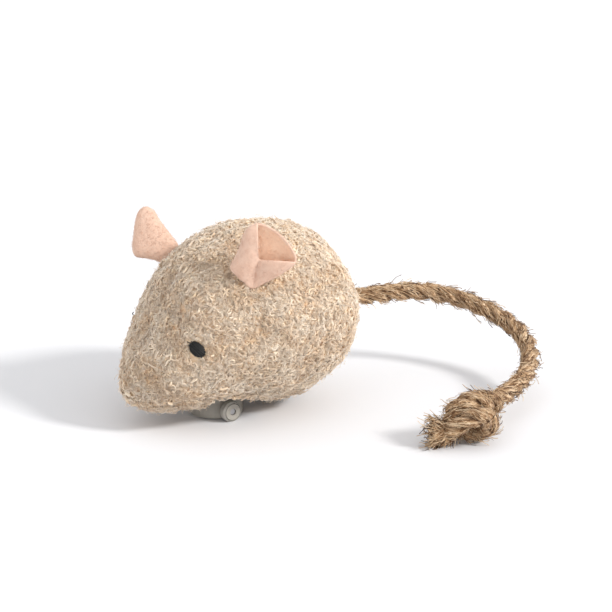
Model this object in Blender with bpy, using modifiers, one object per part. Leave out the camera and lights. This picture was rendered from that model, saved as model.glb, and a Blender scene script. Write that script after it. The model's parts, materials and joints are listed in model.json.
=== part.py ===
"""Clockwork plush mouse: a fleece body over a wind-up movement with two drive wheels.

Metres, +Z up, nose towards -Y, the mouse's left flank towards +X, floor at z = 0.
Everything is built about the body's middle plane under one empty, which sets the origin.
"""
import math

import bmesh
import bpy
from mathutils import Matrix, Vector

for item in list(bpy.data.objects):
    bpy.data.objects.remove(item, do_unlink=True)

MM = 0.001

# ---- driving dimensions ----------------------------------------------------
MIDDLE = Vector((4.3, 4.15, 0.0)) * MM      # where the body's middle plane stands in the part's frame
GAP = 0.3 * MM                              # room left between touching pieces

BODY_LENGTH = 84.0 * MM
NOSE_Y = -46.3 * MM
BODY_STATIONS = (                           # fraction of length, top, bottom, half width (mm)
    (0.00, 15.0, 15.0, 0.0),
    (0.04, 24.0, 8.5, 7.0),
    (0.14, 36.5, 6.0, 17.6),
    (0.28, 54.5, 4.8, 24.5),
    (0.42, 61.1, 4.0, 28.2),
    (0.56, 64.0, 2.8, 31.4),
    (0.70, 63.3, 2.8, 31.2),
    (0.84, 60.0, 7.4, 29.6),
    (0.95, 48.0, 20.0, 20.6),
    (1.00, 32.0, 32.0, 0.0),
)
BODY_CENTRE = Vector((0.0, -4.3, 33.4)) * MM
BODY_HALF = Vector((31.4, 42.0, 30.6)) * MM
COVER_THICK = 0.9 * MM
STUFFING_INSET = 2.1 * MM
BELLY_SEAM = math.radians(-45)              # where the side panels meet the belly panel
NOSE_OPEN, RUMP_OPEN = 0.006, 0.9975        # the panels stop short of the nose tip and the tail hole

EAR_BASE_Y, EAR_BASE_Z = -10.3 * MM, 49.7 * MM
EAR_THICK = 1.0 * MM
EYE_Y, EYE_Z, EYE_RADIUS = -29.5 * MM, 31.3 * MM, 2.5 * MM

AXLE_Y, WHEEL_RADIUS = -11.5 * MM, 3.6 * MM
AXLE_RADIUS = 1.0 * MM
WHEEL_IN, WHEEL_OUT = 9.8 * MM, 12.8 * MM   # inner and outer face of a drive wheel
TYRE_DEPTH = 0.8 * MM
ROLLER_Y, ROLLER_RADIUS = 16.0 * MM, 2.5 * MM

MODULE = 0.5 * MM
PINION_TEETH, SECOND_TEETH, GREAT_TEETH, RATCHET_TEETH = 10, 30, 36, 12
SECOND_LEAN = math.radians(12)              # the second arbor stands this far back of upright over the axle
GREAT_LEAN = math.radians(30)               # and the great wheel this far back over the second arbor
ARBOR_RADIUS = 1.5 * MM
PIN_RADIUS = 0.8 * MM

PAN_RADIUS, PAN_Y, PAN_LOW = 9.2 * MM, -10.5 * MM, 0.5 * MM
FLANGE_LOW, FLANGE_HIGH = 9.2 * MM, 10.4 * MM
FLANGE_HALF, FLANGE_FRONT, FLANGE_BACK = 9.6 * MM, -24.0 * MM, 12.6 * MM
CASE_WALL = 1.2 * MM
CASE_RIGHT, CASE_LEFT = -9.6 * MM, 5.6 * MM
CASE_BACK, CASE_FRONT, CASE_TOP = 8.5 * MM, -20.0 * MM, 36.5 * MM
CASE_LOW = FLANGE_HIGH + GAP
TAB_LENGTH, TAB_HIGH = 3.6 * MM, 3.0 * MM

KEY_INNER, KEY_OUTER = -30.6 * MM, -43.3 * MM
ROPE_RADIUS = 3.0 * MM
KNOT_CENTRE = Vector((71.5, 42.5, 9.0)) * MM
KNOT_HALF = Vector((10.5, 9.0, 8.8)) * MM
TAIL_ROUTE = (                              # mm, chosen by hand: out of the rump, round and down
    (0.0, 37.5, 31.6), (0.0, 48.6, 30.6), (0.6, 59.0, 30.1), (2.0, 69.7, 29.4), (5.2, 79.8, 27.8),
    (11.0, 88.1, 25.1), (19.0, 94.4, 21.5), (28.0, 97.0, 17.8), (36.9, 95.6, 14.4),
    (45.0, 90.2, 11.4), (52.6, 81.4, 9.4), (59.8, 68.8, 8.6), (64.4, 58.6, 8.6), (67.5, 51.5, 8.8),
)

AXLE_AT = Vector((0.0, AXLE_Y, WHEEL_RADIUS))
SECOND_REACH = MODULE * (PINION_TEETH + SECOND_TEETH) / 2
GREAT_REACH = MODULE * (PINION_TEETH + GREAT_TEETH) / 2
SECOND_AT = AXLE_AT + SECOND_REACH * Vector((0.0, math.sin(SECOND_LEAN), math.cos(SECOND_LEAN)))
GREAT_AT = SECOND_AT + GREAT_REACH * Vector((0.0, math.sin(GREAT_LEAN), math.cos(GREAT_LEAN)))
ROLLER_AT = Vector((0.0, ROLLER_Y, ROLLER_RADIUS))

PARTS = bpy.data.collections.new("clockwork_mouse")
CUTTERS = bpy.data.collections.new("cutters")
for folder in (PARTS, CUTTERS):
    bpy.context.scene.collection.children.link(folder)
ROOT = bpy.data.objects.new("middle_plane", None)
ROOT.location = MIDDLE
PARTS.objects.link(ROOT)

COLOURS = {                                 # red, green, blue, roughness, metallic
    "fleece": (0.60, 0.46, 0.35, 0.95, 0.0),
    "fill": (0.85, 0.84, 0.80, 0.95, 0.0),
    "felt": (0.76, 0.50, 0.42, 0.95, 0.0),
    "thread": (0.03, 0.025, 0.02, 0.6, 0.0),
    "jute": (0.36, 0.25, 0.16, 0.9, 0.0),
    "grey_plastic": (0.28, 0.27, 0.25, 0.45, 0.0),
    "case_plastic": (0.55, 0.56, 0.56, 0.4, 0.0),
    "gear_plastic": (0.75, 0.74, 0.68, 0.4, 0.0),
    "rubber": (0.22, 0.21, 0.20, 0.8, 0.0),
    "steel": (0.58, 0.58, 0.60, 0.3, 1.0),
    "brass": (0.72, 0.52, 0.22, 0.3, 1.0),
}


# ---- helpers ---------------------------------------------------------------
def material(name, finish):
    """One Principled material for a named piece."""
    red, green, blue, rough, metal = COLOURS[finish]
    made = bpy.data.materials.new(name)
    made.use_nodes = True
    shader = made.node_tree.nodes["Principled BSDF"]
    shader.inputs["Base Color"].default_value = (red, green, blue, 1.0)
    shader.inputs["Roughness"].default_value = rough
    shader.inputs["Metallic"].default_value = metal
    return made


def place(name, data, finish, at=(0, 0, 0), turn=(0, 0, 0)):
    """Put a mesh or curve in the part's collection under the middle-plane empty."""
    piece = bpy.data.objects.new(name, data)
    piece.location = at
    piece.rotation_euler = turn
    piece.parent = ROOT
    data.materials.clear()
    data.materials.append(material(name, finish))
    PARTS.objects.link(piece)
    return piece


def cutter(name, data, at=(0, 0, 0)):
    """A hidden shape that a Boolean subtracts or adds."""
    shape = bpy.data.objects.new(name, data)
    shape.location = at
    shape.parent = ROOT
    shape.hide_render = True
    shape.display_type = 'WIRE'
    CUTTERS.objects.link(shape)
    return shape


def boolean(piece, shape, operation='DIFFERENCE'):
    change = piece.modifiers.new(operation.lower(), 'BOOLEAN')
    change.operation = operation
    change.object = shape
    change.solver = 'EXACT'


def box_mesh(low, high):
    low, high = Vector(low), Vector(high)
    mesh = bpy.data.meshes.new("box")
    body = bmesh.new()
    size = Matrix.Diagonal((*(high - low), 1.0))
    bmesh.ops.create_cube(body, size=1.0, matrix=Matrix.Translation((low + high) / 2) @ size)
    body.to_mesh(mesh)
    body.free()
    return mesh


def rod_mesh(radius, start, end, sides=16):
    """A round bar along X from start to end."""
    mesh = bpy.data.meshes.new("rod")
    body = bmesh.new()
    turn = Matrix.Translation(((start + end) / 2, 0, 0)) @ Matrix.Rotation(math.pi / 2, 4, 'Y')
    bmesh.ops.create_cone(body, cap_ends=True, segments=sides, radius1=radius, radius2=radius,
                          depth=end - start, matrix=turn)
    body.to_mesh(mesh)
    body.free()
    return mesh


def prism_mesh(outline, start, end):
    """A flat outline in (y, z), pushed along X from start to end."""
    mesh = bpy.data.meshes.new("prism")
    body = bmesh.new()
    face = body.faces.new([body.verts.new((start, y, z)) for y, z in outline])
    pushed = bmesh.ops.extrude_face_region(body, geom=[face])
    moved = [part for part in pushed["geom"] if isinstance(part, bmesh.types.BMVert)]
    bmesh.ops.translate(body, vec=(end - start, 0, 0), verts=moved)
    bmesh.ops.recalc_face_normals(body, faces=body.faces)
    body.to_mesh(mesh)
    body.free()
    return mesh


def circle(radius, sides=16, centre=(0.0, 0.0), start=0.0):
    steps = [start + 2 * math.pi * i / sides for i in range(sides)]
    return [(centre[0] + radius * math.cos(a), centre[1] + radius * math.sin(a)) for a in steps]


def rounded(low, high, radius, steps=4):
    """A rectangle from low to high with round corners, anticlockwise."""
    corners = ((high[0], high[1], 0), (low[0], high[1], 1), (low[0], low[1], 2), (high[0], low[1], 3))
    points = []
    for x, y, quarter in corners:
        cx = x - math.copysign(radius, x - (low[0] + high[0]) / 2)
        cy = y - math.copysign(radius, y - (low[1] + high[1]) / 2)
        for i in range(steps + 1):
            angle = (quarter + i / steps) * math.pi / 2
            points.append((cx + radius * math.cos(angle), cy + radius * math.sin(angle)))
    return points


def arched(low, high, radius):
    """A rectangle from low to high whose two upper corners are round."""
    upper = [p for p in rounded(low, high, radius) if p[1] > high[1] - radius - 0.01 * MM]
    return upper + [(low[0], low[1]), (high[0], low[1])]


def plate(name, finish, outlines, start, end, centre):
    """A flat piece across X, with holes, whose origin is on its own axis."""
    curve = bpy.data.curves.new(name, 'CURVE')
    curve.dimensions = '2D'
    curve.fill_mode = 'BOTH'
    curve.extrude = (end - start) / 2
    curve.render_resolution_u = 0
    for outline in outlines:
        line = curve.splines.new('POLY')
        line.points.add(len(outline) - 1)
        for point, (y, z) in zip(line.points, outline):
            point.co = (y, z, 0.0, 1.0)
        line.use_cyclic_u = True
    at = Vector(centre) + Vector(((start + end) / 2, 0, 0))
    return place(name, curve, finish, at, (math.pi / 2, 0, math.pi / 2))


def turned(name, finish, profile, centre, axis='X', steps=16):
    """A turned piece from (radius, along) points, listed along the axis from one end to the other."""
    mesh = bpy.data.meshes.new(name)
    points = [(radius, 0.0, along) for radius, along in profile]
    mesh.from_pydata(points, [(i, i + 1) for i in range(len(points) - 1)], [])
    turn = (0, math.pi / 2, 0) if axis == 'X' else (0, 0, 0)
    piece = place(name, mesh, finish, centre, turn)
    spin = piece.modifiers.new("turn", 'SCREW')
    spin.axis = 'Z'
    spin.steps = spin.render_steps = steps
    spin.use_merge_vertices = True
    spin.merge_threshold = 0.00001
    return piece


def ring_profile(outer, inner, start, end):
    """A sleeve: down its outer side and back up its bore."""
    return [(outer, end), (outer, start), (inner, start), (inner, end), (outer, end)]


# ---- the plush body --------------------------------------------------------
def station(fraction):
    """Top, bottom and half width there, on a smooth curve that never overshoots its stations."""
    knots = BODY_STATIONS
    i = max(k for k in range(len(knots) - 1) if knots[k][0] <= fraction + 1e-9)
    span = knots[i + 1][0] - knots[i][0]
    s = (fraction - knots[i][0]) / span
    found = []
    for column in (1, 2, 3):
        slopes = []
        for k in (i, i + 1):
            before = after = None
            if k > 0:
                before = (knots[k][column] - knots[k - 1][column]) / (knots[k][0] - knots[k - 1][0])
            if k < len(knots) - 1:
                after = (knots[k + 1][column] - knots[k][column]) / (knots[k + 1][0] - knots[k][0])
            if before is None or after is None:
                slopes.append(1.5 * (after if before is None else before))
            elif before * after <= 0:
                slopes.append(0.0)
            else:
                slopes.append(2 * before * after / (before + after))
        a, b = knots[i][column], knots[i + 1][column]
        value = (a * (2 * s**3 - 3 * s**2 + 1) + b * (3 * s**2 - 2 * s**3)
                 + span * (slopes[0] * (s**3 - 2 * s**2 + s) + slopes[1] * (s**3 - s**2)))
        found.append(value * MM)
    return found


def body_point(fraction, angle):
    top, bottom, half = station(fraction)
    return Vector((half * math.cos(angle), NOSE_Y + BODY_LENGTH * fraction,
                   (top + bottom) / 2 + (top - bottom) / 2 * math.sin(angle)))


def spread(start, end, count):
    """Fractions along the body, closer together towards the nose and the rump."""
    first = math.acos(1 - 2 * start)
    last = math.acos(1 - 2 * end)
    return [(1 - math.cos(first + (last - first) * i / count)) / 2 for i in range(count + 1)]


def seam_step(fraction, angle):
    """The angle that keeps a panel's edge half a seam's width off the seam."""
    top, bottom, half = station(fraction)
    speed = math.hypot(half * math.sin(angle), (top - bottom) / 2 * math.cos(angle))
    return min(0.6, 0.9 * GAP / max(speed, 1e-6))


def cover_panel(name, low, high, rows, columns):
    """A cut panel of the cover: a strip of the body's skin between two seams, given its thickness."""
    mesh = bpy.data.meshes.new(name)
    body = bmesh.new()
    grid = []
    for fraction in spread(NOSE_OPEN, RUMP_OPEN, rows):
        first = low + seam_step(fraction, low)
        last = high - seam_step(fraction, high)
        line = [first + (last - first) * j / columns for j in range(columns + 1)]
        grid.append([body.verts.new(body_point(fraction, angle)) for angle in line])
    for near, far in zip(grid, grid[1:]):
        for j in range(columns):
            body.faces.new((near[j], far[j], far[j + 1], near[j + 1]))
    bmesh.ops.recalc_face_normals(body, faces=body.faces)
    middle = body.faces[len(body.faces) // 2]
    if middle.normal.dot(middle.calc_center_median() - BODY_CENTRE) < 0:
        bmesh.ops.reverse_faces(body, faces=body.faces)
    body.to_mesh(mesh)
    body.free()
    panel = place(name, mesh, "fleece")
    wall = panel.modifiers.new("cloth", 'SOLIDIFY')
    wall.thickness = COVER_THICK
    wall.offset = -1.0
    return panel


def body_solid(name, inset, rows, columns):
    """The whole body, closed, drawn in by inset on every side."""
    mesh = bpy.data.meshes.new(name)
    body = bmesh.new()
    ratio = Vector([1 - inset / half for half in BODY_HALF])

    def drawn_in(point):
        return BODY_CENTRE + Vector([a * b for a, b in zip(point - BODY_CENTRE, ratio)])

    rings = []
    for fraction in spread(0.0, 1.0, rows)[1:-1]:
        angles = [2 * math.pi * j / columns for j in range(columns)]
        rings.append([body.verts.new(drawn_in(body_point(fraction, a))) for a in angles])
    for near, far in zip(rings, rings[1:]):
        for j in range(columns):
            k = (j + 1) % columns
            body.faces.new((near[j], near[k], far[k], far[j]))
    for ring, fraction in ((rings[0], 0.0), (rings[-1], 1.0)):
        tip = body.verts.new(drawn_in(body_point(fraction, 0.0)))
        for j in range(columns):
            body.faces.new((ring[j], ring[(j + 1) % columns], tip))
    bmesh.ops.recalc_face_normals(body, faces=body.faces)
    body.to_mesh(mesh)
    body.free()
    return place(name, mesh, "fill")


def plush_body():
    """Two side panels and a belly panel sewn round the filling, open where the movement shows."""
    left = cover_panel("left_cover_panel", BELLY_SEAM, math.pi / 2, 16, 10)
    right = cover_panel("right_cover_panel", math.pi / 2, math.pi - BELLY_SEAM, 16, 10)
    belly = cover_panel("belly_panel", math.pi - BELLY_SEAM, 2 * math.pi + BELLY_SEAM, 16, 7)
    filling = body_solid("stuffing", STUFFING_INSET, 16, 24)

    reach = PAN_RADIUS + 1.2 * MM
    movement_window = box_mesh((-16.0 * MM, PAN_Y - reach, -5.0 * MM), (16.0 * MM, PAN_Y + reach, 12.0 * MM))
    roller_window = box_mesh((-5.2 * MM, 11.5 * MM, -5.0 * MM), (5.2 * MM, 20.5 * MM, 12.0 * MM))
    boolean(belly, cutter("movement_window", movement_window))
    boolean(belly, cutter("roller_window", roller_window))

    upper_bay = box_mesh((CASE_RIGHT - 2 * GAP, CASE_FRONT - 2 * GAP, -5.0 * MM),
                         (CASE_LEFT + 5 * GAP, CASE_BACK + 2 * GAP, CASE_TOP + 2 * GAP))
    lower_bay = box_mesh((-16.0 * MM, -24.6 * MM, -5.1 * MM), (16.0 * MM, 22.0 * MM, CASE_LOW + TAB_HIGH + 2 * GAP))
    key_hole = rod_mesh(3.2 * MM, -40.0 * MM, CASE_RIGHT)
    boolean(filling, cutter("upper_bay", upper_bay))
    boolean(filling, cutter("lower_bay", lower_bay))
    hole = cutter("key_hole", key_hole, (0, GREAT_AT.y, GREAT_AT.z))
    boolean(filling, hole)
    boolean(right, hole)
    return left


# ---- ears, eyes and tail ---------------------------------------------------
def on_body(y, z, side):
    """The skin's point and outward direction at a height, on the left (+1) or right (-1)."""
    fraction = (y - NOSE_Y) / BODY_LENGTH
    top, bottom, _ = station(fraction)
    angle = math.asin((z - (top + bottom) / 2) / ((top - bottom) / 2))
    step = 0.001
    point = body_point(fraction, angle)
    along = body_point(fraction + step, angle) - body_point(fraction - step, angle)
    around = body_point(fraction, angle + step) - body_point(fraction, angle - step)
    out = along.cross(around).normalized()
    if out.dot(point - BODY_CENTRE) < 0:
        out = -out
    flip = Vector((side, 1, 1))
    return point * flip, out * flip


def ear(name, side, up, across, height, width, cup):
    """A felt leaf pinched at its base, its edges brought forward into a cup."""
    base, out = on_body(EAR_BASE_Y, EAR_BASE_Z, side)
    base = base + out * 1.2 * MM
    up, across = Vector(up).normalized(), Vector(across).normalized()
    facing = up.cross(across).normalized() * -1
    rows, columns = 8, 8
    mesh = bpy.data.meshes.new(name)
    body = bmesh.new()
    grid = []
    for i in range(rows + 1):
        rise = i / rows
        half = width / 2 * math.sin(math.pi * (0.10 + 0.86 * rise ** 1.1)) ** 0.8
        line = []
        for j in range(columns + 1):
            side_way = 2 * j / columns - 1
            lift = height * (rise - 0.16 * rise * side_way ** 2)
            fold = cup * side_way ** 2 * math.sin(math.pi * min(1.0, 0.25 + rise * 0.75))
            point = base + up * lift + across * half * side_way + facing * fold
            line.append(body.verts.new(point))
        grid.append(line)
    for low, high in zip(grid, grid[1:]):
        for j in range(columns):
            body.faces.new((low[j], low[j + 1], high[j + 1], high[j]))
    bmesh.ops.recalc_face_normals(body, faces=body.faces)
    body.to_mesh(mesh)
    body.free()
    leaf = place(name, mesh, "felt")
    wall = leaf.modifiers.new("felt", 'SOLIDIFY')
    wall.thickness = EAR_THICK
    wall.offset = 0.0
    return leaf


def eye(name, side):
    """A small oval of satin stitch that stands just proud of the cover."""
    point, out = on_body(EYE_Y, EYE_Z, side)
    mesh = bpy.data.meshes.new(name)
    body = bmesh.new()
    flat = Matrix.Diagonal((EYE_RADIUS, EYE_RADIUS * 0.9, 0.45 * MM, 1.0))
    turn = out.to_track_quat('Z', 'Y').to_matrix().to_4x4()
    at = Matrix.Translation(point + out * 0.85 * MM)
    bmesh.ops.create_uvsphere(body, u_segments=14, v_segments=6, radius=1.0, matrix=at @ turn @ flat)
    body.to_mesh(mesh)
    body.free()
    return place(name, mesh, "thread")


def smooth_route(points, per_span):
    """A Catmull-Rom curve through the route's points."""
    route = [Vector(p) * MM for p in points]
    route = [2 * route[0] - route[1]] + route + [2 * route[-1] - route[-2]]
    line = []
    for a, b, c, d in zip(route, route[1:], route[2:], route[3:]):
        for i in range(per_span):
            t = i / per_span
            line.append(0.5 * (2 * b + (c - a) * t + (2 * a - 5 * b + 4 * c - d) * t * t
                               + (3 * b - a - 3 * c + d) * t ** 3))
    return line + [route[-2]]


def tail():
    """A stiff jute rope in a curve down to the floor, and the overhand knot at its end."""
    curve = bpy.data.curves.new("tail_rope", 'CURVE')
    curve.dimensions = '3D'
    curve.bevel_depth = ROPE_RADIUS
    curve.bevel_resolution = 3
    curve.use_fill_caps = True
    curve.render_resolution_u = 0
    line = smooth_route(TAIL_ROUTE, 1)
    spline = curve.splines.new('POLY')
    spline.points.add(len(line) - 1)
    for point, at in zip(spline.points, line):
        point.co = (*at, 1.0)
    place("tail_rope", curve, "jute")

    mesh = bpy.data.meshes.new("tail_knot")
    body = bmesh.new()
    lump = Matrix.Translation(KNOT_CENTRE) @ Matrix.Rotation(math.radians(58), 4, 'Z')
    lump = lump @ Matrix.Diagonal((*KNOT_HALF, 1.0))
    bmesh.ops.create_icosphere(body, subdivisions=2, radius=1.0, matrix=lump)
    body.to_mesh(mesh)
    body.free()
    place("tail_knot", mesh, "jute")


# ---- the movement's frame --------------------------------------------------
def base_tray():
    """Round pan under the belly, with the flange that carries the case and the rear roller's cheeks."""
    flange = rounded((-FLANGE_HALF, FLANGE_FRONT), (FLANGE_HALF, FLANGE_BACK), 3 * MM)
    tray = place("base_tray", prism_flat(flange, FLANGE_LOW, FLANGE_HIGH), "grey_plastic")
    pan_at = (0.0, PAN_Y, 0.0)
    boolean(tray, cutter("pan_outside", round_mesh(PAN_RADIUS, PAN_LOW, FLANGE_LOW + 0.6 * MM, 32), pan_at), 'UNION')
    tongue = box_mesh((-4.4 * MM, 9 * MM, FLANGE_LOW + 0.2 * MM), (4.4 * MM, 20 * MM, FLANGE_HIGH - 0.2 * MM))
    boolean(tray, cutter("roller_tongue", tongue), 'UNION')
    for side in (-1, 1):
        low, high = sorted((side * 3.2 * MM, side * 4.4 * MM))
        cheek = box_mesh((low, 13.6 * MM, 1.3 * MM), (high, 18.4 * MM, FLANGE_LOW + 0.6 * MM))
        boolean(tray, cutter(f"roller_cheek_{side}", cheek), 'UNION')
    boolean(tray, cutter("pan_inside", round_mesh(PAN_RADIUS - MM, PAN_LOW + 0.8 * MM, 12 * MM, 32), pan_at))
    pinion_slot = box_mesh((-0.3 * MM, AXLE_Y - 3.3 * MM, -MM), (2.2 * MM, AXLE_Y + 3.3 * MM, 2.5 * MM))
    wheel_slot = box_mesh((-0.3 * MM, PAN_Y - 6 * MM, 8 * MM), (2.2 * MM, PAN_Y + 9.4 * MM, 12 * MM))
    boolean(tray, cutter("pinion_slot", pinion_slot))
    boolean(tray, cutter("second_wheel_slot", wheel_slot))
    boolean(tray, cutter("axle_hole", rod_mesh(1.35 * MM, -12 * MM, 12 * MM), AXLE_AT))
    boolean(tray, cutter("roller_hole", rod_mesh(0.95 * MM, -6 * MM, 6 * MM), ROLLER_AT))
    for number, (x, y) in enumerate(tray_screw_places()):
        boolean(tray, cutter(f"tray_screw_hole_{number}", round_mesh(1.15 * MM, 6 * MM, 12 * MM, 12), (x, y, 0)))


def prism_flat(outline, low, high):
    """A flat outline in (x, y), pushed up from low to high."""
    mesh = prism_mesh([(b, a) for a, b in outline], low, high)
    mesh.transform(Matrix(((0, 0, 1, 0), (0, 1, 0, 0), (1, 0, 0, 0), (0, 0, 0, 1))))
    mesh.flip_normals()
    return mesh


def round_mesh(radius, low, high, sides):
    """An upright round bar."""
    mesh = bpy.data.meshes.new("round")
    body = bmesh.new()
    bmesh.ops.create_cone(body, cap_ends=True, segments=sides, radius1=radius, radius2=radius,
                          depth=high - low, matrix=Matrix.Translation((0, 0, (low + high) / 2)))
    body.to_mesh(mesh)
    body.free()
    return mesh


def tray_screw_places():
    """Two screws in front of the case and two behind it."""
    front, back = CASE_FRONT - TAB_LENGTH / 2, CASE_BACK + TAB_LENGTH / 2
    return [(x * MM, y) for y in (front, back) for x in (-5.6, 3.0)]


def case_screw_places():
    """The two long screws that join the case halves, in its upper corners, as (y, z)."""
    inset = 2.7 * MM
    return [(CASE_BACK - inset, CASE_TOP - inset), (CASE_FRONT + inset, CASE_TOP - inset)]


def case_half(name, outer_x, split_x):
    """Half of the gear case: a side wall and rim, open at the bottom, with feet and screw posts."""
    way = 1 if split_x > outer_x else -1
    outline = arched((CASE_FRONT, CASE_LOW), (CASE_BACK, CASE_TOP), 5 * MM)
    start, end = sorted((outer_x, split_x))
    half = place(name, prism_mesh(outline, start, end), "case_plastic")
    room = arched((CASE_FRONT + CASE_WALL, CASE_LOW - MM), (CASE_BACK - CASE_WALL, CASE_TOP - CASE_WALL), 4 * MM)
    start, end = sorted((outer_x + way * CASE_WALL, split_x + way * MM))
    boolean(half, cutter(f"{name}_room", prism_mesh(room, start, end)))
    foot_x = [x for x, y in tray_screw_places() if (x < 0) == (outer_x < 0)][0]
    for number, (y0, y1) in enumerate(((CASE_FRONT - TAB_LENGTH, CASE_FRONT + 0.6 * MM),
                                       (CASE_BACK - 0.6 * MM, CASE_BACK + TAB_LENGTH))):
        tab = box_mesh((foot_x - 2.2 * MM, y0, CASE_LOW), (foot_x + 2.2 * MM, y1, CASE_LOW + TAB_HIGH))
        boolean(half, cutter(f"{name}_foot_{number}", tab), 'UNION')
    for number, (y, z) in enumerate(case_screw_places()):
        start, end = sorted((outer_x + way * 0.4 * MM, split_x))
        boolean(half, cutter(f"{name}_post_{number}", rod_mesh(2.0 * MM, start, end, 12), (0, y, z)), 'UNION')
        boolean(half, cutter(f"{name}_bolt_{number}", rod_mesh(1.0 * MM, -12 * MM, 12 * MM, 12), (0, y, z)))
    for number, (x, y) in enumerate(tray_screw_places()):
        if (x < 0) == (outer_x < 0):
            hole = round_mesh(1.15 * MM, CASE_LOW - MM, CASE_LOW + 2.6 * MM, 12)
            boolean(half, cutter(f"{name}_pilot_{number}", hole, (x, y, 0)))
    boolean(half, cutter(f"{name}_arbor_hole", rod_mesh(ARBOR_RADIUS + 0.35 * MM, -12 * MM, 12 * MM),
                         (0, GREAT_AT.y, GREAT_AT.z)))
    boolean(half, cutter(f"{name}_pin_hole", rod_mesh(PIN_RADIUS + 0.3 * MM, -12 * MM, 12 * MM),
                         (0, SECOND_AT.y, SECOND_AT.z)))


def screw(name, at, length, axis):
    """A round-headed screw: its head starts the axis and its shank follows."""
    head, shank, high = 1.7 * MM, 0.75 * MM, 0.9 * MM
    profile = [(0.0, length), (shank * 0.6, length), (shank, length - 0.6 * MM), (shank, 0.0), (head, 0.0),
               (head * 0.9, -high * 0.7), (head * 0.5, -high), (0.0, -high)]
    return turned(name, "steel", profile, at, axis, 12)


def fasteners():
    for number, (x, y) in enumerate(tray_screw_places(), 1):
        screw(f"tray_screw_{number}", (x, y, FLANGE_LOW - 0.15 * MM), 3.8 * MM, 'Z')
    for number, (y, z) in enumerate(case_screw_places(), 1):
        piece = screw(f"case_screw_{number}", (CASE_LEFT + 0.2 * MM, y, z), 14.0 * MM, 'X')
        piece.rotation_euler = (0, -math.pi / 2, 0)


# ---- gears -----------------------------------------------------------------
def involute(angle):
    return math.tan(angle) - angle


def gear_outline(teeth, start, slack=0.22 * MM):
    """Involute teeth of a 20 degree rack, thinned for backlash; one tooth points along start."""
    pitch = MODULE * teeth / 2
    pressure = math.radians(20)
    base = pitch * math.cos(pressure)
    tip, root = pitch + 0.7 * MODULE, pitch - 1.15 * MODULE
    points = []

    def half_angle(radius):
        lean = involute(math.acos(min(1.0, base / radius)))
        return (math.pi / 2 - slack / MODULE) / teeth + involute(pressure) - lean

    flank = [(radius, half_angle(max(radius, base))) for radius in (root, pitch, tip)]
    for tooth in range(teeth):
        middle = start + 2 * math.pi * tooth / teeth
        for radius, half in flank:
            points.append((radius, middle - half))
        for radius, half in reversed(flank):
            points.append((radius, middle + half))
    return [(radius * math.cos(angle), radius * math.sin(angle)) for radius, angle in points]


def direction(start, end):
    """The angle in the (y, z) plane from one axis to another."""
    return math.atan2(end.z - start.z, end.y - start.y)


def wheel_with_bore(name, finish, outline, bore, start, end, centre):
    return plate(name, finish, [outline, circle(bore, 16)], start, end, centre)


def drive_line():
    """The drive axle with its pinion, two wheels and their tyres."""
    end = WHEEL_OUT - 0.4 * MM
    place("drive_axle", rod_mesh(AXLE_RADIUS, -end, end), "steel", AXLE_AT)
    teeth = gear_outline(PINION_TEETH, direction(AXLE_AT, SECOND_AT))
    wheel_with_bore("axle_pinion", "brass", teeth, AXLE_RADIUS + 0.15 * MM, 0.2 * MM, 1.7 * MM, AXLE_AT)
    rim = WHEEL_RADIUS - TYRE_DEPTH
    for name, side in (("left", 1), ("right", -1)):
        low, high = sorted((side * WHEEL_IN, side * WHEEL_OUT))
        hub = ring_profile(rim, AXLE_RADIUS + 0.15 * MM, low, high)
        turned(f"{name}_wheel", "grey_plastic", hub, AXLE_AT, 'X', 20)
        edge = 0.6 * MM
        bore = rim + 0.2 * MM
        tread = [(WHEEL_RADIUS - edge, high), (WHEEL_RADIUS, high - edge), (WHEEL_RADIUS, low + edge),
                 (WHEEL_RADIUS - edge, low), (bore, low), (bore, high), (WHEEL_RADIUS - edge, high)]
        turned(f"{name}_tyre", "rubber", tread, AXLE_AT, 'X', 28)


def rear_roller():
    place("roller_pin", rod_mesh(0.6 * MM, -4.3 * MM, 4.3 * MM, 12), "steel", ROLLER_AT)
    turned("rear_roller", "grey_plastic", ring_profile(ROLLER_RADIUS, 0.8 * MM, -2.8 * MM, 2.8 * MM),
           ROLLER_AT, 'X', 20)


def second_line():
    """The second arbor: a wheel driving the axle's pinion, and a pinion driven by the great wheel."""
    place("second_arbor", rod_mesh(PIN_RADIUS, CASE_RIGHT + 0.3 * MM, CASE_LEFT - 0.3 * MM, 12),
          "steel", SECOND_AT)
    half_tooth = math.pi / SECOND_TEETH
    wheel = gear_outline(SECOND_TEETH, direction(SECOND_AT, AXLE_AT) + half_tooth)
    wheel_with_bore("second_wheel", "gear_plastic", wheel, PIN_RADIUS + 0.15 * MM, 0.3 * MM, 1.5 * MM, SECOND_AT)
    teeth = gear_outline(PINION_TEETH, direction(SECOND_AT, GREAT_AT))
    wheel_with_bore("second_pinion", "brass", teeth, PIN_RADIUS + 0.15 * MM, -2.4 * MM, -1.0 * MM, SECOND_AT)


def ratchet_outline():
    """Twelve saw teeth, each steep on its leading side."""
    points = []
    for tooth in range(RATCHET_TEETH):
        face = 2 * math.pi * tooth / RATCHET_TEETH
        for radius, angle in ((3.2 * MM, face), (3.65 * MM, face + 0.24), (4.15 * MM, face + 0.49)):
            points.append((radius * math.cos(angle), radius * math.sin(angle)))
    return points


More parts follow.
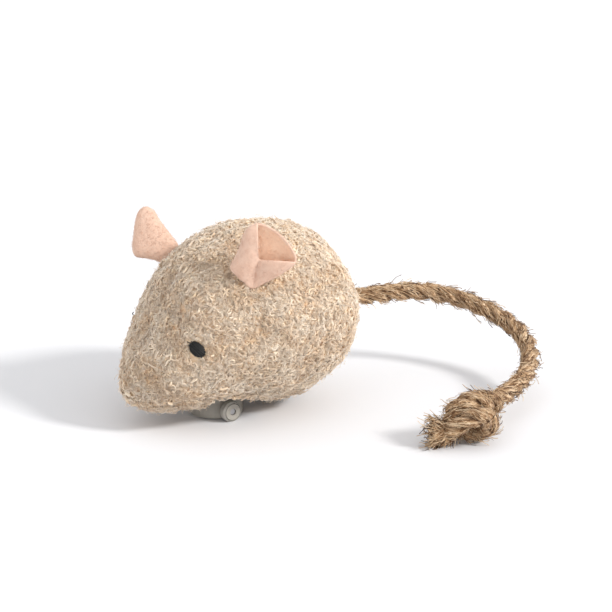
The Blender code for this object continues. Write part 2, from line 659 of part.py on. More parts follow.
def click_outline(pivot, tip_face):
    """The pawl, from the boss on its pin to the nose that stands behind a ratchet tooth."""
    def polar(radius, angle):
        return Vector((radius * math.cos(angle), radius * math.sin(angle)))

    nose = [polar(3.6 * MM, tip_face + 0.09), polar(4.1 * MM, tip_face + 0.30)]
    heel = [polar(5.3 * MM, tip_face + 0.02), polar(4.6 * MM, tip_face + 0.05)]
    toward = math.atan2(*(nose[1] - pivot).yx)
    boss = [pivot + Vector((1.3 * MM * math.cos(toward + a), 1.3 * MM * math.sin(toward + a)))
            for a in (math.radians(-70 - 22 * i) for i in range(11))]
    return [(p.x - pivot.x, p.y - pivot.y) for p in nose + boss + heel]


def great_line():
    """The great wheel turns on the winding arbor and carries the click; key and ratchet turn the arbor."""
    half_tooth = math.pi / GREAT_TEETH
    wheel = gear_outline(GREAT_TEETH, direction(GREAT_AT, SECOND_AT) + half_tooth)
    wheel_with_bore("great_wheel", "brass", wheel, ARBOR_RADIUS + 0.2 * MM, -2.3 * MM, -1.1 * MM, GREAT_AT)
    place("winding_arbor", rod_mesh(ARBOR_RADIUS, -35.4 * MM, CASE_LEFT - 0.3 * MM), "steel", GREAT_AT)
    wheel_with_bore("ratchet_wheel", "steel", ratchet_outline(), ARBOR_RADIUS + 0.15 * MM,
                    -3.8 * MM, -2.7 * MM, GREAT_AT)
    tip_face = 2 * math.pi * 4 / RATCHET_TEETH
    pivot = Vector((6.9 * MM * math.cos(tip_face + 0.95), 6.9 * MM * math.sin(tip_face + 0.95)))
    click_at = GREAT_AT + Vector((0, pivot.x, pivot.y))
    plate("click", "steel", [click_outline(pivot, tip_face), circle(0.75 * MM, 12)],
          -3.8 * MM, -2.7 * MM, click_at)
    place("click_pin", rod_mesh(0.6 * MM, -4.2 * MM, -2.4 * MM, 12), "steel", click_at)
    return click_at


def mainspring():
    """A flat spiral of spring strip between the arbor and its post."""
    inner, outer, turns, strip = 2.3 * MM, 8.6 * MM, 5, 0.35 * MM
    per_turn = 14
    count = turns * per_turn
    inside, outside = [], []
    for i in range(count + 1):
        angle = 2 * math.pi * i / per_turn
        radius = inner + (outer - inner) * i / count
        inside.append((radius * math.cos(angle), radius * math.sin(angle)))
        outside.append(((radius + strip) * math.cos(angle), (radius + strip) * math.sin(angle)))
    plate("mainspring", "steel", [inside + outside[::-1]], -8.0 * MM, -4.6 * MM, GREAT_AT)
    post = (0, GREAT_AT.y + outer + strip + PIN_RADIUS + 0.3 * MM, GREAT_AT.z)
    place("spring_post", rod_mesh(PIN_RADIUS, -8.2 * MM, -4.4 * MM, 12), "steel", post)


def winding_key():
    """Butterfly key: a socket over the arbor's end and two pierced wings."""
    bow, hole, reach, middle = 4.8 * MM, 2.3 * MM, 6.0 * MM, -38.5 * MM
    socket = rod_mesh(2.5 * MM, KEY_OUTER + 5.0 * MM, KEY_INNER, 16)
    key = place("winding_key", socket, "steel", GREAT_AT)
    for number, way in enumerate((-1, 1)):
        lobe = bar_across_y(bow, 1.4 * MM, 24)
        boolean(key, cutter(f"key_wing_{number}", lobe, GREAT_AT + Vector((middle, 0, way * reach))), 'UNION')
    for number, way in enumerate((-1, 1)):
        hole_at = GREAT_AT + Vector((middle, 0, way * (reach + 0.4 * MM)))
        boolean(key, cutter(f"key_eye_{number}", bar_across_y(hole, 4 * MM, 16), hole_at))
    bore = rod_mesh(ARBOR_RADIUS + 0.15 * MM, -35.8 * MM, KEY_INNER + MM)
    boolean(key, cutter("key_bore", bore, GREAT_AT))


def bar_across_y(radius, width, sides):
    mesh = round_mesh(radius, -width / 2, width / 2, sides)
    mesh.transform(Matrix.Rotation(math.pi / 2, 4, 'X'))
    return mesh


plush_body()
ear("left_ear", 1, (0.07, 0.06, 0.99), (0.53, 0.84, 0.10), 22 * MM, 20 * MM, 5 * MM)
ear("right_ear", -1, (-0.56, -0.484, 0.672), (0.189, 0.715, 0.672), 18 * MM, 17 * MM, 3 * MM)
eye("left_eye", 1)
eye("right_eye", -1)
tail()
base_tray()
case_half("gear_case_right", CASE_RIGHT, -0.15 * MM)
case_half("gear_case_left", CASE_LEFT, 0.15 * MM)
fasteners()
drive_line()
rear_roller()
second_line()
great_line()
mainspring()
winding_key()

for thing in PARTS.objects:
    if thing.type == 'MESH':
        thing.data.shade_smooth()
        thing.data.set_sharp_from_angle(angle=math.radians(35))
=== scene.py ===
"""The looks of the clockwork plush mouse: boucle fleece, felt ears, stitched eyes and a jute tail.

Metres, +Z up, nose towards -Y. The movement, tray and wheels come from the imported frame.
"""

import json
from contextlib import contextmanager
from math import acos, asin, atan2, cos, exp, hypot, pi, radians, sin, sqrt

import bmesh
import bpy
from mathutils import Matrix, Vector, noise

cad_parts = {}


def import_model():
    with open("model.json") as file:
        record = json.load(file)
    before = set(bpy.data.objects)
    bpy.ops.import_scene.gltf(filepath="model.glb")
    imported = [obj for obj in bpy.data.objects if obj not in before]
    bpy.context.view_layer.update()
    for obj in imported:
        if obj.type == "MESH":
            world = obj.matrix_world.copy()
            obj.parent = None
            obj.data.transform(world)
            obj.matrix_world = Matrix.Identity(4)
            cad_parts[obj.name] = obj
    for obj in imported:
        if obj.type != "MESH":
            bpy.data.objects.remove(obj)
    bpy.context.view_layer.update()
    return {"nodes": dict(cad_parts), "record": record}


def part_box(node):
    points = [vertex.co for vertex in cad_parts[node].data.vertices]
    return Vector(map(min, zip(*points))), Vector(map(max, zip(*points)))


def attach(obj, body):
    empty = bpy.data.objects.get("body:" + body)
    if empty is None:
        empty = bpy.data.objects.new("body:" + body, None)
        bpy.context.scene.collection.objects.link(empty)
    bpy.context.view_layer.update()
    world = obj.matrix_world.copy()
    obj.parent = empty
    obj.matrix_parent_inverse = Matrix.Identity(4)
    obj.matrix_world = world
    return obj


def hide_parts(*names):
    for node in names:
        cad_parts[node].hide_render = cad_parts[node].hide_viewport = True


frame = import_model()

MM = 0.001
FLIP = Vector((-1.0, 1.0, 1.0))

# ---- driving dimensions, in millimetres about the body's middle plane ----
BODY_LENGTH, BODY_MIDDLE_Y = 84.0, -4.3
NOSE_Y = BODY_MIDDLE_Y - BODY_LENGTH / 2
BODY_STATIONS = (  # fraction of length, top, bottom, half width
    (0.00, 15.0, 15.0, 0.0),
    (0.04, 24.0, 8.5, 7.0),
    (0.14, 36.5, 6.0, 17.6),
    (0.28, 54.5, 4.8, 24.5),
    (0.42, 61.1, 4.0, 28.2),
    (0.56, 64.0, 2.8, 31.4),
    (0.70, 63.3, 2.8, 31.2),
    (0.84, 60.0, 7.4, 29.6),
    (0.95, 48.0, 20.0, 20.6),
    (1.00, 32.0, 32.0, 0.0),
)
BODY_HEART = Vector((0.0, BODY_MIDDLE_Y, 33.4))
BELLY_SEAM = radians(-45)  # the side panels meet the belly panel here
BACKING_DEPTH = 0.55  # knitted backing below the body's skin
BACKING_THICK = 0.8
PANEL_ROWS, PANEL_START, PANEL_END = 110, 0.004, 0.9975  # rows, and where they run along the body
SEAM_DEPTH, SEAM_WIDTH = 1.0, 1.5
MATTING = 1.3  # how fine the filling's surface is
WINDOWS = ((16.0, -20.9, -0.1), (5.2, 11.5, 20.5))  # tray and roller: half width, front, back
UNDERSIDE = 12.0  # the windows are cut below this height
KEY_HOLE_RADIUS = 3.2

EAR_BASE = Vector((23.3, -10.3, 49.7))
EYE_Y, EYE_Z = -29.5, 31.2
EYE_WIDE, EYE_HIGH = 4.1, 6.0
EYE_CROWN, EYE_THREADS, EYE_THREAD = 1.8, 15, 0.24
EYE_EDGE = 0.93  # where its outermost stitches lie, as a share of its half width
EYE_CLEARANCE, OPENING_CLEARANCE = 3.7, 0.9  # no yarn grows this close to them

FELT_THICK = 0.85
EAR_RINGS, EAR_SPAN = 9, 5  # rings from rim to corner, points between outline points
POCKET_DEPTH, FLAP_RISE = 2.3, 0.9  # how far the leaf bellies back, and its flaps forward

ROPE_RADIUS, STRAND_PITCH = 3.0, 22.0
KNOT_RADIUS, KNOT_PITCH = 3.2, 17.0
STRAND_SHIFT = 7.3  # how far apart the strands lie in the jute's pattern
WARP_FINENESS = 520.0  # of the noise that bends scattered yarn, per metre
TAIL_ROUTE = (  # out of the rump, round and down to the knot
    (0.0, 37.5, 31.6), (0.0, 48.6, 30.6), (0.6, 59.0, 30.1), (2.0, 69.7, 29.4), (5.2, 79.8, 27.8),
    (11.0, 88.1, 25.1), (19.0, 94.4, 21.5), (28.0, 97.0, 17.8), (36.9, 95.6, 14.4),
    (45.0, 90.2, 11.4), (52.6, 81.4, 9.4), (59.8, 68.8, 8.6), (64.4, 58.6, 8.6), (67.5, 51.5, 8.8),
)
KNOT_CENTRE = Vector((71.5, 42.5, 9.0))

VIEW_AZIMUTH, VIEW_ELEVATION = radians(58), radians(18)
VIEW_DISTANCE, VIEW_HEIGHT, LENS = 700.0, 28.0, 121.1
AIM_RIGHT, AIM_UP = 22.1, 7.0

FLOOR_COLOUR, SKY_COLOUR, SKY_STRENGTH = (0.75, 0.75, 0.765, 1.0), (0.985, 0.99, 1.0, 1.0), 1.02
SUN_FROM, SUN_COLOUR = Vector((1.24, 0.85, 1.0)), (1.0, 0.99, 0.975)
SUN_STRENGTH, SUN_WIDTH = 2.65, radians(11)

TO_CAMERA = Vector((sin(VIEW_AZIMUTH) * cos(VIEW_ELEVATION),
                    -cos(VIEW_AZIMUTH) * cos(VIEW_ELEVATION), sin(VIEW_ELEVATION)))
VIEW_RIGHT = Vector((cos(VIEW_AZIMUTH), sin(VIEW_AZIMUTH), 0.0))
VIEW_UP = TO_CAMERA.cross(VIEW_RIGHT)
EYE_SLANT = VIEW_RIGHT * 0.72 - VIEW_UP * 0.69


def middle_plane():
    """Where the body's middle plane stands in the frame, from the wheels and the filling."""
    left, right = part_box("left_wheel")[1].x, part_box("right_wheel")[0].x
    low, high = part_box("stuffing")
    return Vector(((left + right) / 2, (low.y + high.y) / 2 - BODY_MIDDLE_Y * MM, 0.0))


MIDDLE = middle_plane()


def world(point):
    """A point in millimetres about the middle plane, in the frame's metres."""
    return Vector(point) * MM + MIDDLE


def key_axis():
    """The winding arbor's axis, in millimetres about the middle plane, as (y, z)."""
    low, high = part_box("winding_arbor")
    centre = ((low + high) / 2 - MIDDLE) / MM
    return centre.y, centre.z


KEY_Y, KEY_Z = key_axis()


# ---- node and mesh helpers ----
def srgb(red, green, blue):
    """A colour given as 0 to 255 screen values, as linear red, green, blue and alpha."""
    def line(value):
        share = value / 255
        return share / 12.92 if share <= 0.04045 else ((share + 0.055) / 1.055) ** 2.4
    return (line(red), line(green), line(blue), 1.0)


def node(tree, kind, inputs=None, **settings):
    """A node with its settings, whose inputs take numbers or other nodes' outputs."""
    made = tree.nodes.new(kind)
    for key, value in settings.items():
        setattr(made, key, value)
    for key, value in (inputs or {}).items():
        if isinstance(value, bpy.types.NodeSocket):
            tree.links.new(value, made.inputs[key])
        else:
            made.inputs[key].default_value = value
    return made


def place_object(name, data):
    made = bpy.data.objects.new(name, data)
    bpy.context.scene.collection.objects.link(made)
    return made


def add_piece(name, mesh, material=None):
    """A finished mesh as an object at the origin."""
    piece = place_object(name, mesh)
    mesh.name = name
    if material:
        set_finish(mesh, material)
    return piece


def set_finish(mesh, material):
    """Gives a mesh this one material."""
    mesh.materials.clear()
    mesh.materials.append(material)


def store(mesh, name, values):
    """Keeps one number, or one vector, for each vertex under a name."""
    if isinstance(values[0], float):
        mesh.attributes.new(name, 'FLOAT', 'POINT').data.foreach_set("value", values)
    else:
        kept = mesh.attributes.new(name, 'FLOAT_VECTOR', 'POINT')
        kept.data.foreach_set("vector", [number for value in values for number in value])


def evaluated_mesh(piece):
    """A plain mesh of what the piece's modifiers make of it."""
    bpy.context.view_layer.update()
    graph = bpy.context.evaluated_depsgraph_get()
    return bpy.data.meshes.new_from_object(piece.evaluated_get(graph))


def bake_down(piece):
    """Applies a piece's modifiers, so that its mesh is plain."""
    mesh = evaluated_mesh(piece)
    piece.modifiers.clear()
    old = piece.data
    piece.data = mesh
    if old.users == 0:
        bpy.data.meshes.remove(old)


@contextmanager
def opened(mesh):
    """The mesh, open for editing; it is written back at the end."""
    shape = bmesh.new()
    shape.from_mesh(mesh)
    yield shape
    shape.to_mesh(mesh)
    shape.free()


def thicken(piece, thickness, offset):
    wall = piece.modifiers.new("thickness", 'SOLIDIFY')
    wall.thickness = thickness * MM
    wall.offset = offset


def join(name, pieces):
    """Several objects as one, which keeps the first one's material slot and every attribute."""
    with bpy.context.temp_override(active_object=pieces[0], object=pieces[0], selected_objects=pieces,
                                   selected_editable_objects=pieces):
        bpy.ops.object.join()
    pieces[0].name = name
    pieces[0].data.name = name
    return pieces[0]


def mesh_from(name, points, faces):
    """A smooth-shaded mesh."""
    mesh = bpy.data.meshes.new(name)
    mesh.from_pydata([tuple(p) for p in points], [], faces)
    mesh.update()
    mesh.shade_smooth()
    return mesh


def ring_faces(rings, sides):
    """Quads between closed rings of points, or triangles where a ring is a single point."""
    faces = []
    for near, far in zip(rings, rings[1:]):
        for j in range(sides):
            k = (j + 1) % sides
            faces.append(list(dict.fromkeys((near[j % len(near)], near[k % len(near)],
                                             far[k % len(far)], far[j % len(far)]))))
    return faces


def geometry_tree(name, inputs):
    """An empty Geometry Nodes tree with inputs named by kind, its input node and its output node."""
    tree = bpy.data.node_groups.new(name, 'GeometryNodeTree')
    tree.interface.new_socket("Geometry", in_out='INPUT', socket_type='NodeSocketGeometry')
    tree.interface.new_socket("Geometry", in_out='OUTPUT', socket_type='NodeSocketGeometry')
    for kind, labels in inputs.items():
        for label in labels:
            tree.interface.new_socket(label, in_out='INPUT', socket_type='NodeSocket' + kind)
    return tree, tree.nodes.new('NodeGroupInput'), tree.nodes.new('NodeGroupOutput')


def run_tree(tree, base, name, values):
    """A new piece from a tree run on a base mesh, with the inputs set by their identifiers."""
    change = base.modifiers.new(tree.name, 'NODES')
    change.node_group = tree
    identifiers = {item.name: item.identifier for item in tree.interface.items_tree
                   if item.item_type == 'SOCKET' and item.in_out == 'INPUT'}
    for label, value in values.items():
        change[identifiers[label]] = value
    made = add_piece(name, evaluated_mesh(base))
    base.modifiers.remove(change)
    return made


def geo(tree, kind, inputs=None, **settings):
    """The first output of a new geometry node."""
    return node(tree, 'GeometryNode' + kind, inputs, **settings).outputs[0]


def maths(tree, operation, first, second=0.0):
    return node(tree, 'ShaderNodeMath', {0: first, 1: second}, operation=operation).outputs[0]


def vector_maths(tree, operation, inputs):
    return node(tree, 'ShaderNodeVectorMath', inputs, operation=operation).outputs[0]


def vector_of(tree, **parts):
    return node(tree, 'ShaderNodeCombineXYZ', parts).outputs[0]


def random_number(tree, low, high, seed):
    """A random number for each point, between two values that may be sockets."""
    return node(tree, 'FunctionNodeRandomValue', {2: low, 3: high, "Seed": seed},
                data_type='FLOAT').outputs[1]


def round_profile(tree, sides, radius):
    return geo(tree, 'CurvePrimitiveCircle', {"Resolution": sides, "Radius": radius}, mode='RADIUS')


def tube_of(tree, curve, profile):
    return geo(tree, 'CurveToMesh', {"Curve": curve, "Profile Curve": profile, "Fill Caps": True})


def finish_tree(tree, geometry, material, out):
    """Ends a tree: smooth shading and one material on what it makes."""
    smooth = geo(tree, 'SetShadeSmooth', {"Geometry": geometry})
    finished = geo(tree, 'SetMaterial', {"Geometry": smooth, "Material": material})
    tree.links.new(finished, out.inputs[0])


# ---- materials ----
def new_material(name, roughness, metallic=0.0, **sockets):
    """A material with its shader and node tree; sockets name other constant shader inputs."""
    made = bpy.data.materials.new(name)
    made.use_nodes = True
    tree = made.node_tree
    shader = tree.nodes["Principled BSDF"]
    shader.inputs["Roughness"].default_value = roughness
    shader.inputs["Metallic"].default_value = metallic
    for label, value in sockets.items():
        shader.inputs[label.replace("_", " ")].default_value = value
    return made, tree, shader


def ramp(tree, factor, *stops):
    """A colour ramp of stops, each a position and a screen colour."""
    made = node(tree, 'ShaderNodeValToRGB', {"Fac": factor})
    elements = made.color_ramp.elements
    while len(elements) > len(stops):
        elements.remove(elements[-1])
    while len(elements) < len(stops):
        elements.new(0.5)
    for element, (position, *colour) in zip(elements, stops):
        element.position, element.color = position, srgb(*colour)
    return made.outputs["Color"]


def noise_of(tree, vector, scale, detail=3.0, roughness=0.5):
    made = node(tree, 'ShaderNodeTexNoise',
                {"Vector": vector, "Scale": scale, "Detail": detail, "Roughness": roughness})
    return made.outputs["Fac"]


def object_coordinates(tree):
    return tree.nodes.new('ShaderNodeTexCoord').outputs["Object"]


def stretched(tree, vector, scale):
    return node(tree, 'ShaderNodeMapping', {"Vector": vector, "Scale": scale}).outputs["Vector"]


def bump(tree, shader, height, strength, distance):
    made = node(tree, 'ShaderNodeBump', {"Height": height, "Strength": strength, "Distance": distance})
    tree.links.new(made.outputs["Normal"], shader.inputs["Normal"])


def base_colour(tree, shader, colour):
    tree.links.new(colour, shader.inputs["Base Color"])


def worn(tree, shader, marks, roughness, smoother, rougher, low=0.3):
    """Varies the roughness about its mean with a noise."""
    rough = node(tree, 'ShaderNodeMapRange', {"Value": marks, "From Min": low, "From Max": 0.7,
                                              "To Min": roughness - smoother,
                                              "To Max": roughness + rougher})
    tree.links.new(rough.outputs["Result"], shader.inputs["Roughness"])


def mixed(tree, factor, first, second, blend='MIX'):
    """Two colours mixed by a factor."""
    return node(tree, 'ShaderNodeMix', {0: factor, 6: first, 7: second}, data_type='RGBA',
                blend_type=blend).outputs[2]


def attribute(tree, name):
    return node(tree, 'ShaderNodeAttribute', attribute_name=name)


def fleece_material():
    """Oatmeal boucle: pale curls of yarn over a knitted backing painted darker, as painted shade in the
    gaps between the curls.
    """
    made, tree, shader = new_material("boucle_fleece", 0.92, Sheen_Weight=0.3, Sheen_Roughness=0.4,
                                      Specular_IOR_Level=0.15, Subsurface_Weight=0.4,
                                      Subsurface_Radius=(1.0, 0.93, 0.86), Subsurface_Scale=0.0009)
    place = object_coordinates(tree)
    # The backing carries no tint and so takes the first, darkest stop: painted shade in the gaps between
    # the curls. The curls' own tints differ at random.
    yarn = ramp(tree, attribute(tree, "tint").outputs["Fac"],
                (0.0, 244, 225, 201), (0.4, 249, 232, 210), (1.0, 254, 239, 220))
    patches = noise_of(tree, place, 130.0, 3.0, 0.6)
    tone = ramp(tree, patches, (0.36, 241, 227, 211), (0.62, 255, 253, 250))
    toned = mixed(tree, 1.0, yarn, tone, 'MULTIPLY')
    fibres = noise_of(tree, stretched(tree, place, (1.0, 1.0, 2.2)), 2600.0, 2.0, 0.6)
    shade = ramp(tree, fibres, (0.3, 242, 236, 230), (0.7, 255, 255, 255))
    base_colour(tree, shader, mixed(tree, 1.0, toned, shade, 'MULTIPLY'))
    bump(tree, shader, fibres, 0.35, 0.0002)
    return made


def felt_material():
    """Pink pressed felt with short loose fibres, painted paler and warmer inside the ear's pocket as
    painted light bounced within it.
    """
    made, tree, shader = new_material("pink_felt", 0.95, Sheen_Weight=0.35, Sheen_Roughness=0.4,
                                      Specular_IOR_Level=0.15)
    place = object_coordinates(tree)
    cloud = noise_of(tree, place, 320.0, 4.0, 0.6)
    fine = noise_of(tree, place, 2200.0, 3.0, 0.7)
    # Where the inside attribute is set, the felt is painted paler and warmer: painted light bounced
    # within the ear's cup, on the same felt.
    inside = attribute(tree, "inside").outputs["Fac"]
    outer = ramp(tree, cloud, (0.3, 216, 181, 160), (0.7, 224, 192, 172))
    inner = ramp(tree, cloud, (0.3, 240, 198, 168), (0.7, 245, 208, 180))
    base_colour(tree, shader, mixed(tree, inside, outer, inner))
    bump(tree, shader, fine, 0.5, 0.0003)
    return made


def thread_material():
    """Black stranded cotton with a soft shine along each thread."""
    made, tree, shader = new_material("black_thread", 0.5, Specular_IOR_Level=0.35)
    place = object_coordinates(tree)
    twist = noise_of(tree, stretched(tree, place, (1.0, 1.0, 3.0)), 1800.0, 2.0)
    base_colour(tree, shader, ramp(tree, twist, (0.3, 5, 5, 5), (0.75, 24, 23, 21)))
    bump(tree, shader, twist, 0.4, 0.0002)
    return made


def jute_material():
    """Straw-coloured jute, streaked along its fibres, with painted shade in the gaps between them and
    painted highlights along them.
    """
    made, tree, shader = new_material("jute_rope", 0.85, Specular_IOR_Level=0.3, Sheen_Weight=0.15)
    lie = attribute(tree, "lie").outputs["Vector"]
    streaks = noise_of(tree, stretched(tree, lie, (1.5, 0.16, 1.0)), 1.0, 4.0, 0.7)
    patches = noise_of(tree, stretched(tree, lie, (0.5, 0.12, 1.0)), 1.0, 3.0, 0.5)
    # The darkest stops paint shade into the gaps between the fibres. The palest stop is pale straw with
    # painted highlights on it.
    straw = ramp(tree, streaks, (0.36, 44, 28, 17), (0.44, 132, 98, 68), (0.52, 200, 168, 132),
                 (0.66, 250, 232, 206))
    base_colour(tree, shader, mixed(tree, patches, straw, srgb(220, 202, 178), 'MULTIPLY'))
    bump(tree, shader, streaks, 0.9, 0.0006)
    return made


def fibre_material():
    """Single jute fibres, pale straw to brown."""
    made, tree, shader = new_material("jute_fibre", 0.8, Specular_IOR_Level=0.3)
    shade = ramp(tree, attribute(tree, "tint").outputs["Fac"],
                 (0.0, 58, 38, 24), (0.3, 140, 106, 74), (0.5, 210, 180, 144), (1.0, 252, 234, 206))
    along = noise_of(tree, object_coordinates(tree), 900.0, 2.0)
    base_colour(tree, shader, mixed(tree, along, shade, srgb(214, 196, 172), 'MULTIPLY'))
    return made


def fill_material():
    """White polyester filling, matted into wisps."""
    made, tree, shader = new_material("polyester_fill", 0.95, Sheen_Weight=0.3)
    place = object_coordinates(tree)
    wisps = noise_of(tree, stretched(tree, place, (1.0, 2.5, 1.0)), 420.0, 5.0, 0.65)
    base_colour(tree, shader, ramp(tree, wisps, (0.3, 204, 200, 192), (0.7, 240, 238, 232)))
    bump(tree, shader, wisps, 0.8, 0.001)
    return made


def plastic_material(name, dark, light, roughness, grain=900.0):
    """Moulded plastic: a fine spark-eroded grain, faint flow marks and scuffs."""
    made, tree, shader = new_material(name, roughness, Specular_IOR_Level=0.5)
    place = object_coordinates(tree)
    flow = noise_of(tree, stretched(tree, place, (1.0, 1.0, 3.0)), 90.0, 3.0)
    fine = noise_of(tree, place, grain, 2.0)
    scuffs = noise_of(tree, stretched(tree, place, (6.0, 1.0, 1.0)), 260.0, 4.0, 0.7)
    base_colour(tree, shader, ramp(tree, flow, (0.35, *dark), (0.65, *light)))
    worn(tree, shader, scuffs, roughness, 0.08, 0.15, low=0.35)
    bump(tree, shader, fine, 0.25, 0.0001)
    return made


def metal_material(name, dark, light, roughness, lines):
    """Drawn or stamped metal with fine lines along one direction and slight staining."""
    made, tree, shader = new_material(name, roughness, 1.0)
    place = object_coordinates(tree)
    drawn = noise_of(tree, stretched(tree, place, lines), 700.0, 3.0, 0.6)
    stains = noise_of(tree, place, 130.0, 4.0, 0.6)
    base_colour(tree, shader, ramp(tree, stains, (0.35, *dark), (0.65, *light)))
    worn(tree, shader, drawn, roughness, 0.07, 0.12)
    bump(tree, shader, drawn, 0.12, 0.0001)
    return made


FLEECE = fleece_material()
FELT = felt_material()
THREAD = thread_material()
JUTE = jute_material()
FIBRE = fibre_material()
FILL = fill_material()
PLASTICS = {  # darkest and palest colour, roughness
    "grey_plastic": ((140, 135, 126), (158, 153, 144), 0.45),
    "case_plastic": ((186, 188, 188), (204, 205, 204), 0.38),
    "gear_plastic": ((222, 219, 208), (236, 233, 224), 0.35),
    "tyre_rubber": ((150, 146, 138), (168, 164, 156), 0.75, 1500.0),
}
METALS = {  # the same, and which way the lines run
    "steel": ((150, 150, 153), (178, 178, 181), 0.36, (0.3, 4.0, 4.0)),
    "plated_key": ((196, 196, 198), (222, 222, 222), 0.2, (1.0, 5.0, 1.0)),
    "brass": ((196, 158, 88), (222, 186, 116), 0.26, (0.4, 3.0, 3.0)),
}
FRAME_FINISHES = {name: plastic_material(name, *look) for name, look in PLASTICS.items()}
FRAME_FINISHES.update({name: metal_material(name, *look) for name, look in METALS.items()})


# ---- camera ----
def set_camera():
    data = bpy.data.cameras.new("camera")
    data.lens = LENS
    data.clip_start, data.clip_end = 0.05, 20.0
    camera = place_object("camera", data)
    target = world((0.0, 0.0, VIEW_HEIGHT))
    camera.location = target + TO_CAMERA * VIEW_DISTANCE * MM
    aim = target + (VIEW_RIGHT * AIM_RIGHT + VIEW_UP * AIM_UP) * MM
    camera.rotation_euler = (aim - camera.location).to_track_quat('-Z', 'Y').to_euler()
    bpy.context.scene.camera = camera


# ---- scattered yarn, fibres and hairs ----
def curl_shape(tree, turns, start, end, rise, profile):
    """One curl of yarn as an instance: part of a spiral, given its round section."""
    return tube_of(tree, geo(tree, 'CurveSpiral', {
        "Resolution": 7, "Rotations": turns, "Start Radius": start * MM, "End Radius": end * MM,
        "Height": rise * MM}), profile)


def tuft_shape(tree, turns, start, end, rise, profile):
    """Four filaments of one yarn, lying side by side through the same bend."""
    together = node(tree, 'GeometryNodeJoinGeometry')
    for number in range(4):
        wider = 0.22 * number
        curl = curl_shape(tree, turns - 0.04 * number, start + wider, end + wider,
                          rise * (1 - 0.25 * number), profile)
        tree.links.new(curl, together.inputs[0])
    return together.outputs[0]


def fibre_shape(tree, length, bow, lift, profile):
    """One bent fibre as an instance, lying along X and bowed off the surface."""
    return tube_of(tree, geo(tree, 'CurveQuadraticBezier', {
        "Resolution": 6, "Start": (0.0, 0.0, 0.0), "Middle": (length * 0.5 * MM, bow * MM, lift * MM),
        "End": (length * MM, 0.0, lift * 0.3 * MM)}), profile)


def scatter_tree(name, shapes, lay):
    """A tree that scatters variants of a shape over a surface, then makes them plain mesh.

    The surface's "pile" says where they stand. With lay, each shape's X runs along its "lay".
    """
    tree, given, out = geometry_tree(name, {
        'Float': ("Spacing", "Most", "Yarn Radius", "Smallest", "Largest", "Tilt", "Spin", "Sink", "Warp",
                  "Darkest", "Palest"), 'Int': ("Seed",), 'Material': ("Material",)})
    value = given.outputs

    def kept(label, kind):
        return node(tree, 'GeometryNodeInputNamedAttribute', {"Name": label},
                    data_type=kind).outputs["Attribute"]

    def random(low, high, offset):
        seed = node(tree, 'FunctionNodeIntegerMath', {0: value["Seed"], 1: offset}).outputs[0]
        return random_number(tree, low, high, seed)

    def minus(label):
        return maths(tree, 'MULTIPLY', value[label], -1.0)

    def either_way(label, offset):
        """A random number for each point, up to a limit either way."""
        return random(minus(label), value[label], offset)

    def turned(rotation, **about):
        """A rotation turned further about its own axes."""
        given_turn = {"Rotation": rotation, "Rotate By": vector_of(tree, **about)}
        return node(tree, 'FunctionNodeRotateRotation', given_turn, rotation_space='LOCAL').outputs[0]

    points = node(tree, 'GeometryNodeDistributePointsOnFaces', {
        "Mesh": value["Geometry"], "Distance Min": value["Spacing"], "Density Max": value["Most"],
        "Density Factor": kept("pile", 'FLOAT'), "Seed": value["Seed"]},
        distribute_method='POISSON').outputs
    turn = points["Rotation"]
    if lay:
        turn = node(tree, 'FunctionNodeAlignRotationToVector', {
            "Rotation": turn, "Vector": kept("lay", 'FLOAT_VECTOR')},
            axis='X', pivot_axis='Z').outputs["Rotation"]
    turn = turned(turn, Z=either_way("Spin", 1))
    turn = turned(turn, X=either_way("Tilt", 2), Y=either_way("Tilt", 3))

    profile = round_profile(tree, 3, value["Yarn Radius"])
    variants = node(tree, 'GeometryNodeGeometryToInstance')
    for make, sizes in reversed(shapes):
        tree.links.new(make(tree, *sizes, profile), variants.inputs[0])
    which = node(tree, 'FunctionNodeRandomValue', {4: 0, 5: len(shapes) - 1, "Seed": 5},
                 data_type='INT').outputs[2]
    instances = geo(tree, 'InstanceOnPoints', {
        "Points": points["Points"], "Instance": variants.outputs[0], "Pick Instance": True,
        "Instance Index": which, "Rotation": turn,
        "Scale": random(value["Smallest"], value["Largest"], 4)})
    tinted = geo(tree, 'StoreNamedAttribute', {
        "Geometry": instances, "Name": "tint", "Value": random(value["Darkest"], value["Palest"], 6)},
        data_type='FLOAT', domain='INSTANCE')
    sunk = geo(tree, 'TranslateInstances', {
        "Instances": tinted, "Local Space": False,
        "Translation": vector_maths(tree, 'SCALE', {0: points["Normal"], "Scale": minus("Sink")})})
    plain = geo(tree, 'RealizeInstances', {"Geometry": sunk})
    wave = node(tree, 'ShaderNodeTexNoise', {
        "Vector": geo(tree, 'InputPosition'), "Scale": WARP_FINENESS, "Detail": 1.0}).outputs["Color"]
    centred = vector_maths(tree, 'SUBTRACT', {0: wave, 1: (0.5, 0.5, 0.5)})
    offset = vector_maths(tree, 'SCALE', {0: centred, "Scale": value["Warp"]})
    bent = geo(tree, 'SetPosition', {"Geometry": plain, "Offset": offset})
    finish_tree(tree, bent, value["Material"], out)
    return tree


def scatter(tree, base, name, material, seed, spacing, most, radius, scales, tilt, spin, sink, warp,
            tints):
    """What a scatter tree makes over a base, with its lengths in millimetres."""
    return run_tree(tree, base, name, {
        "Spacing": spacing * MM, "Most": most, "Seed": seed, "Yarn Radius": radius * MM,
        "Smallest": scales[0], "Largest": scales[1], "Tilt": tilt, "Spin": spin, "Sink": sink * MM,
        "Warp": warp * MM, "Darkest": tints[0], "Palest": tints[1], "Material": material})


